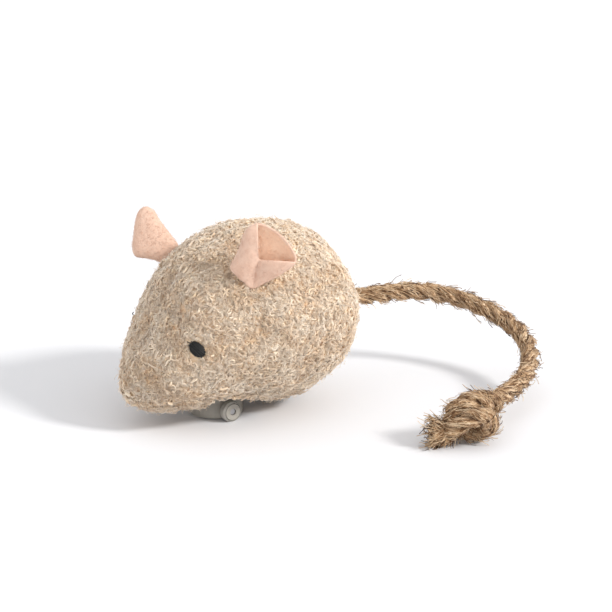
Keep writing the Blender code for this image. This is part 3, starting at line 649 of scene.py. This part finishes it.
# ---- the plush body ----
def station(fraction):
    """Top, bottom and half width there, on a smooth curve that never overshoots its stations."""
    knots = BODY_STATIONS
    i = max(k for k in range(len(knots) - 1) if knots[k][0] <= fraction + 1e-9)
    span = knots[i + 1][0] - knots[i][0]
    s = (fraction - knots[i][0]) / span

    def rise(k, column):
        return (knots[k + 1][column] - knots[k][column]) / (knots[k + 1][0] - knots[k][0])

    def slope(k, column):
        if k in (0, len(knots) - 1):
            return 1.5 * rise(min(k, len(knots) - 2), column)
        before, after = rise(k - 1, column), rise(k, column)
        return 2 * before * after / (before + after) if before * after > 0 else 0.0

    return [knots[i][column] * (2 * s**3 - 3 * s**2 + 1) + knots[i + 1][column] * (3 * s**2 - 2 * s**3)
            + span * (slope(i, column) * (s**3 - 2 * s**2 + s) + slope(i + 1, column) * (s**3 - s**2))
            for column in (1, 2, 3)]


def body_point(fraction, angle):
    top, bottom, half = station(fraction)
    return Vector((half * cos(angle), NOSE_Y + BODY_LENGTH * fraction,
                   (top + bottom) / 2 + (top - bottom) / 2 * sin(angle)))


def skin_out(fraction, angle, stride, swing):
    """The outward direction of the skin there, measured over a short way along and around."""
    ahead = (body_point(min(1.0, fraction + stride), angle)
             - body_point(max(0.0, fraction - stride), angle))
    aside = body_point(fraction, angle + swing) - body_point(fraction, angle - swing)
    out = ahead.cross(aside).normalized()
    return -out if out.dot(body_point(fraction, angle) - BODY_HEART) < 0 else out


def on_body(y, z, side):
    """The skin's point and outward direction at a height, on the left (+1) or right (-1)."""
    fraction = (y - NOSE_Y) / BODY_LENGTH
    top, bottom, _ = station(fraction)
    angle = asin((z - (top + bottom) / 2) / ((top - bottom) / 2))
    point, out = body_point(fraction, angle), skin_out(fraction, angle, 0.001, 0.001)
    return (point, out) if side > 0 else (point * FLIP, out * FLIP)


def lumps(point):
    """How far the backing swells out of its mean surface, in millimetres."""
    fine = noise.noise(point / 3.2 + Vector((9.0, 4.0, 2.0)))
    return 0.55 * noise.noise(point / 7.5) + 0.35 * fine


def seam_valley(point, angle, low, high):
    """How deep the backing is drawn in near a panel's two seams."""
    half = Vector((point.x, point.z - BODY_HEART.z)).length
    nearest = min(abs(angle - low), abs(high - angle)) * half
    return SEAM_DEPTH * exp(-(nearest / SEAM_WIDTH) ** 2)


def in_windows(point, margin):
    """Whether a point lies in the openings under the belly or in the key hole."""
    for half, front, back in WINDOWS:
        if (point.z < UNDERSIDE and abs(point.x) < half + margin
                and front - margin < point.y < back + margin):
            return True
    reach = hypot(point.y - KEY_Y, point.z - KEY_Z)
    return point.x < 0 and reach < KEY_HOLE_RADIUS + margin


def backing(name, low, high, columns):
    """One panel's knitted backing as an open surface, with its openings left out."""
    first, last = acos(1 - 2 * PANEL_START), acos(1 - 2 * PANEL_END)
    points, pile, lines = [], [], []
    eyes = [on_body(EYE_Y, EYE_Z, side)[0] for side in (1, -1)]
    for i in range(PANEL_ROWS + 1):
        fraction = (1 - cos(first + (last - first) * i / PANEL_ROWS)) / 2
        line = []
        for j in range(columns + 1):
            angle = low + (high - low) * j / columns
            skin = body_point(fraction, angle)
            out = skin_out(fraction, angle, 0.002, 0.01)
            depth = BACKING_DEPTH + seam_valley(skin, angle, low, high) - lumps(skin)
            point = skin - out * depth
            line.append(len(points))
            points.append(world(point))
            covered = (not in_windows(skin, OPENING_CLEARANCE)
                       and min((skin - eye).length for eye in eyes) > EYE_CLEARANCE)
            pile.append(1.0 if covered else 0.0)
        lines.append(line)
    faces = []
    for near, far in zip(lines, lines[1:]):
        for j in range(columns):
            corners = (near[j], near[j + 1], far[j + 1], far[j])
            centre = sum((points[k] for k in corners), Vector()) / 4
            if not in_windows((centre - MIDDLE) / MM, 0.0):
                faces.append(corners)
    mesh = mesh_from(name, points, faces)
    store(mesh, "pile", pile)
    turn_outwards(mesh, world(BODY_HEART))
    return add_piece(name, mesh)


def turn_outwards(mesh, heart):
    """Makes an open shell's faces all point away from a point inside it."""
    with opened(mesh) as shell:
        bmesh.ops.delete(shell, geom=[v for v in shell.verts if not v.link_faces], context='VERTS')
        bmesh.ops.recalc_face_normals(shell, faces=shell.faces)
        agree = sum(1 if f.normal.dot(f.calc_center_median() - heart) > 0 else -1 for f in shell.faces)
        if agree < 0:
            bmesh.ops.reverse_faces(shell, faces=shell.faces)


def fleece_panel(name, node_name, low, high, columns, trees, seed):
    """A cut panel of boucle: its backing cloth, thickened, and the yarn that stands on it."""
    cloth = backing(name + "_backing", low, high, columns)
    loops = scatter(trees[0], cloth, name + "_loops", FLEECE, seed, 1.15, 2.0e6, 0.55, (0.7, 1.15),
                    0.35, pi, 0.1, 1.1, (0.35, 0.7))
    strands = scatter(trees[1], cloth, name + "_strands", FLEECE, seed + 1, 1.05, 3.0e6, 0.09, (0.6, 1.2),
                      0.4, pi, -0.5, 1.3, (0.35, 1.0))
    wisps = scatter(trees[2], cloth, name + "_wisps", FLEECE, seed + 2, 1.5, 3.0e6, 0.045, (0.6, 1.3),
                    0.8, pi, -0.7, 1.6, (0.7, 1.0))
    thicken(cloth, BACKING_THICK, -1.0)
    bake_down(cloth)
    set_finish(cloth.data, FLEECE)
    panel = join(name, [cloth, loops, strands, wisps])
    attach(panel, "root")
    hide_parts(node_name)


def fleece_body():
    loops = [(curl_shape, sizes) for sizes in (
        (0.6, 1.3, 1.0, 0.3), (0.45, 1.7, 1.3, 0.2), (0.7, 1.1, 0.8, 0.4))]
    strands = [(tuft_shape, sizes) for sizes in (
        (0.65, 1.0, 0.7, 0.5), (0.45, 1.5, 1.1, 0.3), (0.35, 2.1, 1.6, 0.4), (0.75, 0.8, 0.6, 0.5))]
    wisps = [(fibre_shape, sizes) for sizes in ((1.8, 0.5, 0.9), (2.6, -0.7, 0.7), (1.4, 0.3, 1.3))]
    trees = [scatter_tree(label, shapes, lay=False) for label, shapes in (
        ("boucle_loops", loops), ("boucle_strands", strands), ("boucle_wisps", wisps))]
    left, top, right = BELLY_SEAM, pi / 2, pi - BELLY_SEAM
    fleece_panel("left_fleece", "left_cover_panel", left, top, 78, trees, 3)
    fleece_panel("right_fleece", "right_cover_panel", top, right, 78, trees, 11)
    fleece_panel("belly_fleece", "belly_panel", right, 2 * pi + left, 52, trees, 19)


def filling():
    """The polyester filling, matted and uneven, round the bay that holds the movement."""
    mesh = frame["nodes"]["stuffing"].data.copy()
    with opened(mesh) as soft:
        bmesh.ops.remove_doubles(soft, verts=soft.verts, dist=0.00001)
    wad = add_piece("filling", mesh, FILL)
    grid = wad.modifiers.new("matting", 'REMESH')
    grid.mode = 'VOXEL'
    grid.voxel_size = MATTING * MM
    bake_down(wad)
    normals = [v.normal.copy() for v in wad.data.vertices]
    for vertex, out in zip(wad.data.vertices, normals):
        wisp = noise.fractal(vertex.co / MM / 5.0, 0.9, 2.1, 3)
        vertex.co -= out * (0.35 + 0.3 * wisp) * MM
    wad.data.shade_smooth()
    set_finish(wad.data, FILL)
    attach(wad, "root")
    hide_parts("stuffing")


# ---- smooth lines ----
def smooth_line(points, per_span, closed=False):
    """A Catmull-Rom curve through the points."""
    route = [Vector(p) for p in points]
    if closed:
        route = [route[-1]] + route + [route[0], route[1]]
    else:
        route = [2 * route[0] - route[1]] + route + [2 * route[-1] - route[-2]]
    line = []
    for a, b, c, d in zip(route, route[1:], route[2:], route[3:]):
        for i in range(per_span):
            t = i / per_span
            line.append(0.5 * (2 * b + (c - a) * t + (2 * a - 5 * b + 4 * c - d) * t * t
                               + (3 * b - a - 3 * c + d) * t ** 3))
    return line if closed else line + [route[-2]]


def lengths_along(line):
    """How far along the line each of its points lies."""
    lengths = [0.0]
    for a, b in zip(line, line[1:]):
        lengths.append(lengths[-1] + (b - a).length)
    return lengths


def even_line(line, step):
    """The same line with points an even step apart."""
    lengths = lengths_along(line)
    count = max(2, round(lengths[-1] / step))
    found, k = [], 0
    for i in range(count + 1):
        want = lengths[-1] * i / count
        while k < len(line) - 2 and lengths[k + 1] < want:
            k += 1
        share = (want - lengths[k]) / max(lengths[k + 1] - lengths[k], 1e-9)
        found.append(line[k].lerp(line[k + 1], share))
    return found


def frames_along(line):
    """The direction and two cross directions at each point, turned as little as possible."""
    ways = [(b - a).normalized() for a, b in zip(line, line[1:])]
    ways.append(ways[-1])
    side = ways[0].orthogonal().normalized()
    found = []
    for way in ways:
        side = (side - way * side.dot(way)).normalized()
        found.append((way, side, way.cross(side)))
    return found


# ---- ears ----
LEFT_EAR_OUTLINE = (  # right and up from the ear's root, anticlockwise from the root
    (0.0, -0.3), (4.2, 1.6), (9.9, 4.6), (14.0, 7.4), (15.2, 9.2), (14.9, 10.9), (13.3, 13.8),
    (10.2, 17.4), (6.1, 20.4), (2.2, 21.5), (-0.9, 20.3), (-2.7, 17.5), (-4.0, 13.2), (-6.2, 9.0),
    (-7.2, 6.6), (-5.2, 4.2), (-2.4, 1.6))
RIGHT_EAR_OUTLINE = (  # the same for the other ear, seen from behind
    (0.0, -0.6), (1.6, 2.7), (-0.3, 5.6), (-2.8, 9.0), (-5.1, 12.2), (-6.6, 14.9), (-8.4, 16.4),
    (-10.2, 16.5), (-12.0, 14.8), (-13.0, 11.5), (-13.6, 7.0), (-14.0, 2.6), (-13.4, 0.2),
    (-11.8, -0.6), (-8.9, -0.9), (-6.4, -1.6), (-3.6, -2.4))


def felt_ear(name, node_name, root, outline, grown, corner, opening, crease, facing, lean):
    """A felt leaf folded round from two sides into a pocket that meets at its inner corner.

    corner is where the two flaps meet, opening the angles between which the pocket stays open,
    and crease the angle of the fold that runs from the corner to the root.
    """
    rim = smooth_line([(x * grown, y * grown, 0.0) for x, y in outline], EAR_SPAN, closed=True)
    heart = Vector((corner[0] * grown, corner[1] * grown, 0.0))
    count = len(rim)
    points, inside = [], []
    # On the ear seen from the front, the pocket's inside takes the felt's paler, warmer colour: painted
    # light bounced within the cup.
    bounced_light = 1.0 if facing > 0 else 0.0
    shares = [1 - (ring / EAR_RINGS) ** 1.3 for ring in range(1, EAR_RINGS)]

    def angle_of(k):
        away = rim[k] - heart
        return atan2(away.y, away.x)

    def add(k, share, depth, value):
        spot = heart + (rim[k] - heart) * share
        points.append(world(root + (VIEW_RIGHT * spot.x + VIEW_UP * spot.y
                                    + TO_CAMERA * (facing * depth + lean * spot.y))))
        inside.append(value)
        return len(points) - 1

    def folded(k):
        """Whether the leaf is folded over here, and how far it lifts off."""
        turn = (angle_of(k) - opening[1]) % (2 * pi)
        room = (opening[0] - opening[1]) % (2 * pi)
        if turn > room:
            return None
        away = abs((angle_of(k) - crease + pi) % (2 * pi) - pi)
        return -1.6 + 3.3 * min(1.0, away / 1.4) ** 0.6

    outer = [add(k, 1.0, 0.0, 0.0) for k in range(count)]
    pocket = [outer]
    for share in shares:
        depth = -POCKET_DEPTH * sqrt(1 - share * share)
        pocket.append([add(k, share, depth, bounced_light) for k in range(count)])
    pocket.append([add(0, 0.0, -POCKET_DEPTH, bounced_light)])
    faces = ring_faces(pocket, count)

    lifts = [folded(k) for k in range(count)]
    front = [outer]
    for share in shares:
        line = []
        for k, lift in enumerate(lifts):
            if lift is None:
                line.append(None)
                continue
            depth = sqrt(1 - share * share) * (FLAP_RISE + lift * min(1.0, 2.2 * share))
            line.append(add(k, share, depth, 0.0))
        front.append(line)
    tip = add(0, 0.0, FLAP_RISE, 0.0)
    pairs = [(k, (k + 1) % count) for k in range(count)]
    pairs = [(k, m) for k, m in pairs if lifts[k] is not None and lifts[m] is not None]
    for near, far in zip(front, front[1:]):
        faces += [(near[m], near[k], far[k], far[m]) for k, m in pairs]
    faces += [(front[-1][m], front[-1][k], tip) for k, m in pairs]
    mesh = mesh_from(name, points, faces)
    store(mesh, "inside", inside)
    leaf = add_piece(name, mesh, FELT)
    thicken(leaf, FELT_THICK, 0.0)
    round_off = leaf.modifiers.new("smooth", 'SUBSURF')
    round_off.levels = round_off.render_levels = 1
    bake_down(leaf)
    set_finish(leaf.data, FELT)
    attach(leaf, "root")
    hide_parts(node_name)
    felted_nap(leaf, name + "_nap")


def felted_nap(leaf, name):
    """Short loose fibres over the felt, which soften its edges."""
    store(leaf.data, "pile", [1.0] * len(leaf.data.vertices))
    hairs = scatter_tree(name, [(fibre_shape, sizes) for sizes in (
        (0.9, 0.2, 0.3), (1.3, -0.3, 0.2), (0.7, 0.1, 0.5))], lay=False)
    nap = scatter(hairs, leaf, name, FELT, 4, 0.42, 8.0e6, 0.03, (0.6, 1.3), 0.5, pi, 0.02, 0.8,
                  (0.0, 1.0))
    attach(nap, "root")


# ---- eyes ----
def satin_tree():
    """Parallel stitches side by side, each as long as the oval is there."""
    tree, given, out = geometry_tree("satin_stitch", {
        'Int': ("Threads", "Seed"), 'Float': ("Wide", "Long", "Thread Radius", "Crown"),
        'Material': ("Material",)})
    value = given.outputs

    def times(first, second):
        return maths(tree, 'MULTIPLY', first, second)

    arc = geo(tree, 'CurveArc', {"Resolution": 11, "Radius": 0.5, "Sweep Angle": pi}, mode='RADIUS')
    upright = geo(tree, 'Transform', {"Geometry": arc, "Rotation": (pi / 2, 0.0, 0.0)})
    last = maths(tree, 'SUBTRACT', value["Threads"], 1.0)
    share = maths(tree, 'DIVIDE', geo(tree, 'InputIndex'), last)
    across = node(tree, 'ShaderNodeMapRange', {
        "Value": share, "To Min": -EYE_EDGE, "To Max": EYE_EDGE}).outputs[0]
    rest = maths(tree, 'SUBTRACT', 1.0, times(across, across))
    chord = times(maths(tree, 'SQRT', rest), random_number(tree, 0.9, 1.08, value["Seed"]))
    place = vector_of(tree, Y=times(across, times(value["Wide"], 0.5)))
    row = geo(tree, 'Points', {"Count": value["Threads"], "Position": place})
    size = vector_of(tree, X=times(chord, value["Long"]), Y=1.0, Z=times(chord, value["Crown"]))
    stitches = geo(tree, 'InstanceOnPoints', {"Points": row, "Instance": upright, "Scale": size})
    plain = geo(tree, 'RealizeInstances', {"Geometry": stitches})
    tubes = tube_of(tree, plain, round_profile(tree, 7, value["Thread Radius"]))
    finish_tree(tree, tubes, value["Material"], out)
    return tree


def stitched_eye(name, node_name, side, pull, tree):
    """An oval of black satin stitch, its threads slanting down towards the cheek.

    pull is how far the stitches are drawn into the fleece.
    """
    point, out = on_body(EYE_Y, EYE_Z, side)
    slant = EYE_SLANT if side > 0 else EYE_SLANT * FLIP
    slant = (slant - out * slant.dot(out)).normalized()
    start = add_piece(name + "_start", bpy.data.meshes.new(name + "_start"))
    eye = run_tree(tree, start, name, {
        "Threads": EYE_THREADS, "Wide": EYE_WIDE * MM, "Long": EYE_HIGH * MM,
        "Thread Radius": EYE_THREAD * MM, "Crown": EYE_CROWN * MM, "Seed": 7, "Material": THREAD})
    bpy.data.objects.remove(start)
    turn = Matrix((slant, out.cross(slant), out)).transposed().to_4x4()
    eye.data.transform(Matrix.Translation(world(point - out * pull)) @ turn)
    tail = thread_end(name + "_end", point, out, slant)
    eye = join(name, [eye, tail])
    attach(eye, "root")
    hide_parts(node_name)


def thread_end(name, point, out, slant):
    """The short end of thread that lies beside the eye."""
    start = point - slant * 1.9 + out * 0.6
    route = [start, start - slant * 1.2 + out * 0.35, start - slant * 2.2 - out.cross(slant) * 0.3]
    return add_piece(name, tube_mesh(name, smooth_line(route, 4), lambda along, angle: 0.17, 6), THREAD)


# ---- tubes and the jute tail ----
def tube_mesh(name, line, radius_at, sides, number=0):
    """A round-sectioned tube along a line of millimetre points, closed at both ends.

    It carries "lie" (around, along and which strand) and "lay" (its own direction).
    """
    points, lie, lay, rings = [], [], [], []
    for point, along, (way, side, up) in zip(line, lengths_along(line), frames_along(line)):
        ring = []
        for j in range(sides):
            angle = 2 * pi * j / sides
            reach = radius_at(along, angle)
            ring.append(len(points))
            points.append(world(point + (side * cos(angle) + up * sin(angle)) * reach))
            lie.append((angle * reach, along, number * STRAND_SHIFT))
            lay.append(way)
        rings.append(ring)
    ends = [tuple(reversed(rings[0])), tuple(rings[-1])]
    mesh = mesh_from(name, points, ring_faces(rings, sides) + ends)
    store(mesh, "lie", lie)
    store(mesh, "lay", lay)
    store(mesh, "pile", [1.0] * len(points))
    return mesh


def laid_rope(name, line, radius, pitch, sides=30):
    """Three strands laid right-handed round a line, each with its own fibres and twist."""
    centre, strand = radius * 0.53, radius * 0.49
    line = even_line(line, 0.45)
    pieces = []
    for number in range(3):
        route = []
        for point, along, (_, side, up) in zip(line, lengths_along(line), frames_along(line)):
            turn = 2 * pi * (along / pitch + number / 3)
            route.append(point + (side * cos(turn) + up * sin(turn)) * centre)

        def reach(along, angle, number=number):
            twist = angle - along * 2 * pi / pitch * 0.9
            yarns = 0.055 * sin(8 * twist + number) + 0.035 * sin(13 * twist + 2 * number)
            rough = 0.09 * noise.noise(Vector((cos(twist) * 2.5, sin(twist) * 2.5,
                                               along * 0.25 + 30 * number)))
            return strand * (1 + yarns + rough)

        label = f"{name}_strand_{number}"
        pieces.append(add_piece(label, tube_mesh(label, route, reach, sides, number), JUTE))
    return join(name, pieces)


def jute_fibres(name, base, tree, seed, spacing, scales, tilt, spin):
    """Loose fibres standing off a rope's surface, mostly along its strands."""
    return above_floor(scatter(tree, base, name, FIBRE, seed, spacing, 6.0e6, 0.11, scales, tilt, spin,
                               0.05, 1.2, (0.0, 1.0)))


def above_floor(piece):
    """Lays whatever hangs below the floor flat upon it."""
    for vertex in piece.data.vertices:
        vertex.co.z = max(vertex.co.z, 0.1 * MM)
    return piece


KNOT_ROUTE = (  # right, up and forward of the knot's middle
    (5.5, 0.2, -7.8), (8.2, 2.6, -4.2), (6.2, 5.2, -0.4), (1.0, 6.0, 1.4), (-4.2, 3.4, 1.6),
    (-5.6, -1.0, 0.0), (-2.6, -4.6, -1.4), (2.6, -5.2, 0.0), (6.2, -2.4, 2.6), (5.0, 1.2, 5.0),
    (0.8, 1.8, 5.6), (-3.4, -0.8, 5.0), (-6.4, -3.6, 3.8), (-8.6, -5.2, 3.0))
BRUSH_ROUTE = ((-7.0, -3.6, 3.6), (-8.4, -4.0, 3.2), (-10.0, -4.3, 2.8), (-11.6, -4.5, 2.5))


def view_place(point):
    """A point given as right, up and forward of the knot's middle."""
    forward = Vector((TO_CAMERA.x, TO_CAMERA.y, 0.0)).normalized()
    return KNOT_CENTRE + VIEW_RIGHT * point[0] + Vector((0.0, 0.0, point[1])) + forward * point[2]


def brush_reach(along, _):
    """The frayed end's radius: it spreads, then rounds off at its tip."""
    return (2.6 + 0.45 * along) * min(1.0, 5.6 - along) ** 0.5


def jute_tail():
    """The stiff rope tail, its overhand knot with a frayed end, and their loose fibres."""
    fibres = scatter_tree("jute_fibres", [(fibre_shape, sizes) for sizes in (
        (3.4, 0.3, 0.3), (4.6, -0.5, 0.5), (2.6, 0.3, 0.9), (6.0, 0.8, 0.4), (3.0, -0.6, 0.2))], lay=True)
    line = smooth_line(TAIL_ROUTE, 16)
    rope = laid_rope("tail", line, ROPE_RADIUS, STRAND_PITCH)
    rope_fibres = jute_fibres("tail_fibres", rope, fibres, 5, 0.85, (0.4, 1.1), 0.08, 0.55)

    bow = smooth_line([view_place(p) for p in KNOT_ROUTE], 14)
    knot = above_floor(laid_rope("knot", bow, KNOT_RADIUS, KNOT_PITCH))
    knot_fibres = jute_fibres("knot_fibres", knot, fibres, 9, 0.8, (0.4, 1.0), 0.2, 0.7)

    end = even_line(smooth_line([view_place(p) for p in BRUSH_ROUTE], 6), 0.5)
    plug = above_floor(add_piece("brush", tube_mesh("brush", end, brush_reach, 20), JUTE))
    brush = jute_fibres("brush_fibres", plug, fibres, 13, 0.4, (0.5, 1.2), 0.5, 0.8)

    for piece in (rope, rope_fibres, knot, knot_fibres, plug, brush):
        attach(piece, "root")
    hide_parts("tail_rope")
    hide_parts("tail_knot")


# ---- winding key and the frame's finishes ----
def winding_key():
    """A plated butterfly key: two pierced wings with rounded edges on a turned socket."""
    low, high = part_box("winding_key")
    outer, inner = (low.x - MIDDLE.x) / MM, (high.x - MIDDLE.x) / MM
    middle, bow, hole, reach = -38.5, 4.6, 2.2, 6.1
    neck_angle, waist = 0.34, 1.2
    plated = FRAME_FINISHES["plated_key"]
    pieces = []
    for way in (-1, 1):
        curve = bpy.data.curves.new("wing", 'CURVE')
        curve.dimensions, curve.fill_mode = '2D', 'BOTH'
        curve.extrude, curve.bevel_depth, curve.bevel_resolution = 0.35 * MM, 0.3 * MM, 2
        angles = [way * (-pi / 2 + neck_angle + (2 * pi - 2 * neck_angle) * i / 30) for i in range(31)]
        wing = [(bow * cos(a), way * reach + bow * sin(a) * 0.98) for a in angles]
        neck = [(-waist, way * 1.0), (waist, way * 1.0)]
        turns = [2 * pi * i / 24 for i in range(24)]
        pierced = [(hole * cos(a), way * (reach + 0.4) + hole * sin(a)) for a in turns]
        for outline in (wing + neck, pierced):
            line = curve.splines.new('POLY')
            line.points.add(len(outline) - 1)
            for point, (x, z) in zip(line.points, outline):
                point.co = (x * MM, z * MM, 0.0, 1.0)
            line.use_cyclic_u = True
        holder = place_object("wing", curve)
        mesh = evaluated_mesh(holder)
        bpy.data.objects.remove(holder)
        upright = Matrix.Rotation(pi / 2, 4, 'X')
        mesh.transform(Matrix.Translation(world((middle, KEY_Y, KEY_Z))) @ upright)
        mesh.validate()
        pieces.append(add_piece("wing", mesh, plated))
    rim, waisted, bore, bore_end = 2.5, 2.2, 1.65, -35.7
    profile = [(0.0, outer + 4.2), (1.7, outer + 4.4), (waisted, outer + 5.0), (rim, outer + 5.6),
               (rim, -33.4), (waisted, -33.1), (waisted, -32.7), (rim, -32.4), (rim, inner - 0.3),
               (waisted, inner), (1.7, inner), (bore, inner - 0.6), (bore, bore_end), (0.0, bore_end)]
    pieces.append(turned_piece("socket", profile, plated))
    key = join("key", pieces)
    key.data.set_sharp_from_angle(angle=radians(40))
    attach(key, "key_line")
    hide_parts("winding_key")


def turned_piece(name, profile, material, sides=40):
    """A turned piece about the key's axis, from (radius, x) points, closed on the axis."""
    points, rings = [], []
    for radius, x in profile:
        ring = []
        for j in range(sides if radius > 0 else 1):
            angle = 2 * pi * j / sides
            ring.append(len(points))
            points.append(world((x, KEY_Y + radius * cos(angle), KEY_Z + radius * sin(angle))))
        rings.append(ring)
    mesh = mesh_from(name, points, ring_faces(rings, sides))
    with opened(mesh) as body:
        bmesh.ops.recalc_face_normals(body, faces=body.faces)
    return add_piece(name, mesh, material)


def finish_frame():
    """Every carried-over node takes the material that the record names for it."""
    for row in frame["record"]["subparts"]:
        finish = FRAME_FINISHES.get(row["material_slot"])
        if finish:
            for slot in frame["nodes"][row["node"]].material_slots:
                slot.material = finish


# ---- stage ----
def stage():
    """A white floor, a white world and soft light from beyond the tail."""
    bpy.ops.mesh.primitive_plane_add(size=14.0, location=(0.0, 0.0, 0.0))
    floor = bpy.context.object
    floor.name = "floor"
    made, _, shader = new_material("floor_white", 0.9, Specular_IOR_Level=0.1)
    shader.inputs["Base Color"].default_value = FLOOR_COLOUR
    floor.data.materials.append(made)

    sky = bpy.data.worlds.new("studio")
    sky.use_nodes = True
    background = sky.node_tree.nodes["Background"]
    background.inputs["Color"].default_value = SKY_COLOUR
    background.inputs["Strength"].default_value = SKY_STRENGTH
    bpy.context.scene.world = sky

    lamp = bpy.data.lights.new("window", 'SUN')
    lamp.energy, lamp.angle, lamp.color = SUN_STRENGTH, SUN_WIDTH, SUN_COLOUR
    light = place_object("window", lamp)
    light.rotation_euler = SUN_FROM.to_track_quat('Z', 'Y').to_euler()
    bpy.context.scene.view_settings.view_transform = 'Standard'


set_camera()
jute_tail()
fleece_body()
filling()
felt_ear("left_ear_felt", "left_ear", EAR_BASE, LEFT_EAR_OUTLINE, 0.95, (2.3, 9.3),
         (radians(-3), radians(88)), radians(-103), 1, 0.35)
felt_ear("right_ear_felt", "right_ear", EAR_BASE * FLIP - VIEW_RIGHT * 1.8, RIGHT_EAR_OUTLINE, 1.0,
         (-6.6, 5.0), (radians(92), radians(170)), radians(-45), -1, -0.05)
SATIN = satin_tree()
stitched_eye("left_eye_stitch", "left_eye", 1, 0.1, SATIN)
stitched_eye("right_eye_stitch", "right_eye", -1, 0.9, SATIN)
winding_key()
finish_frame()
stage()
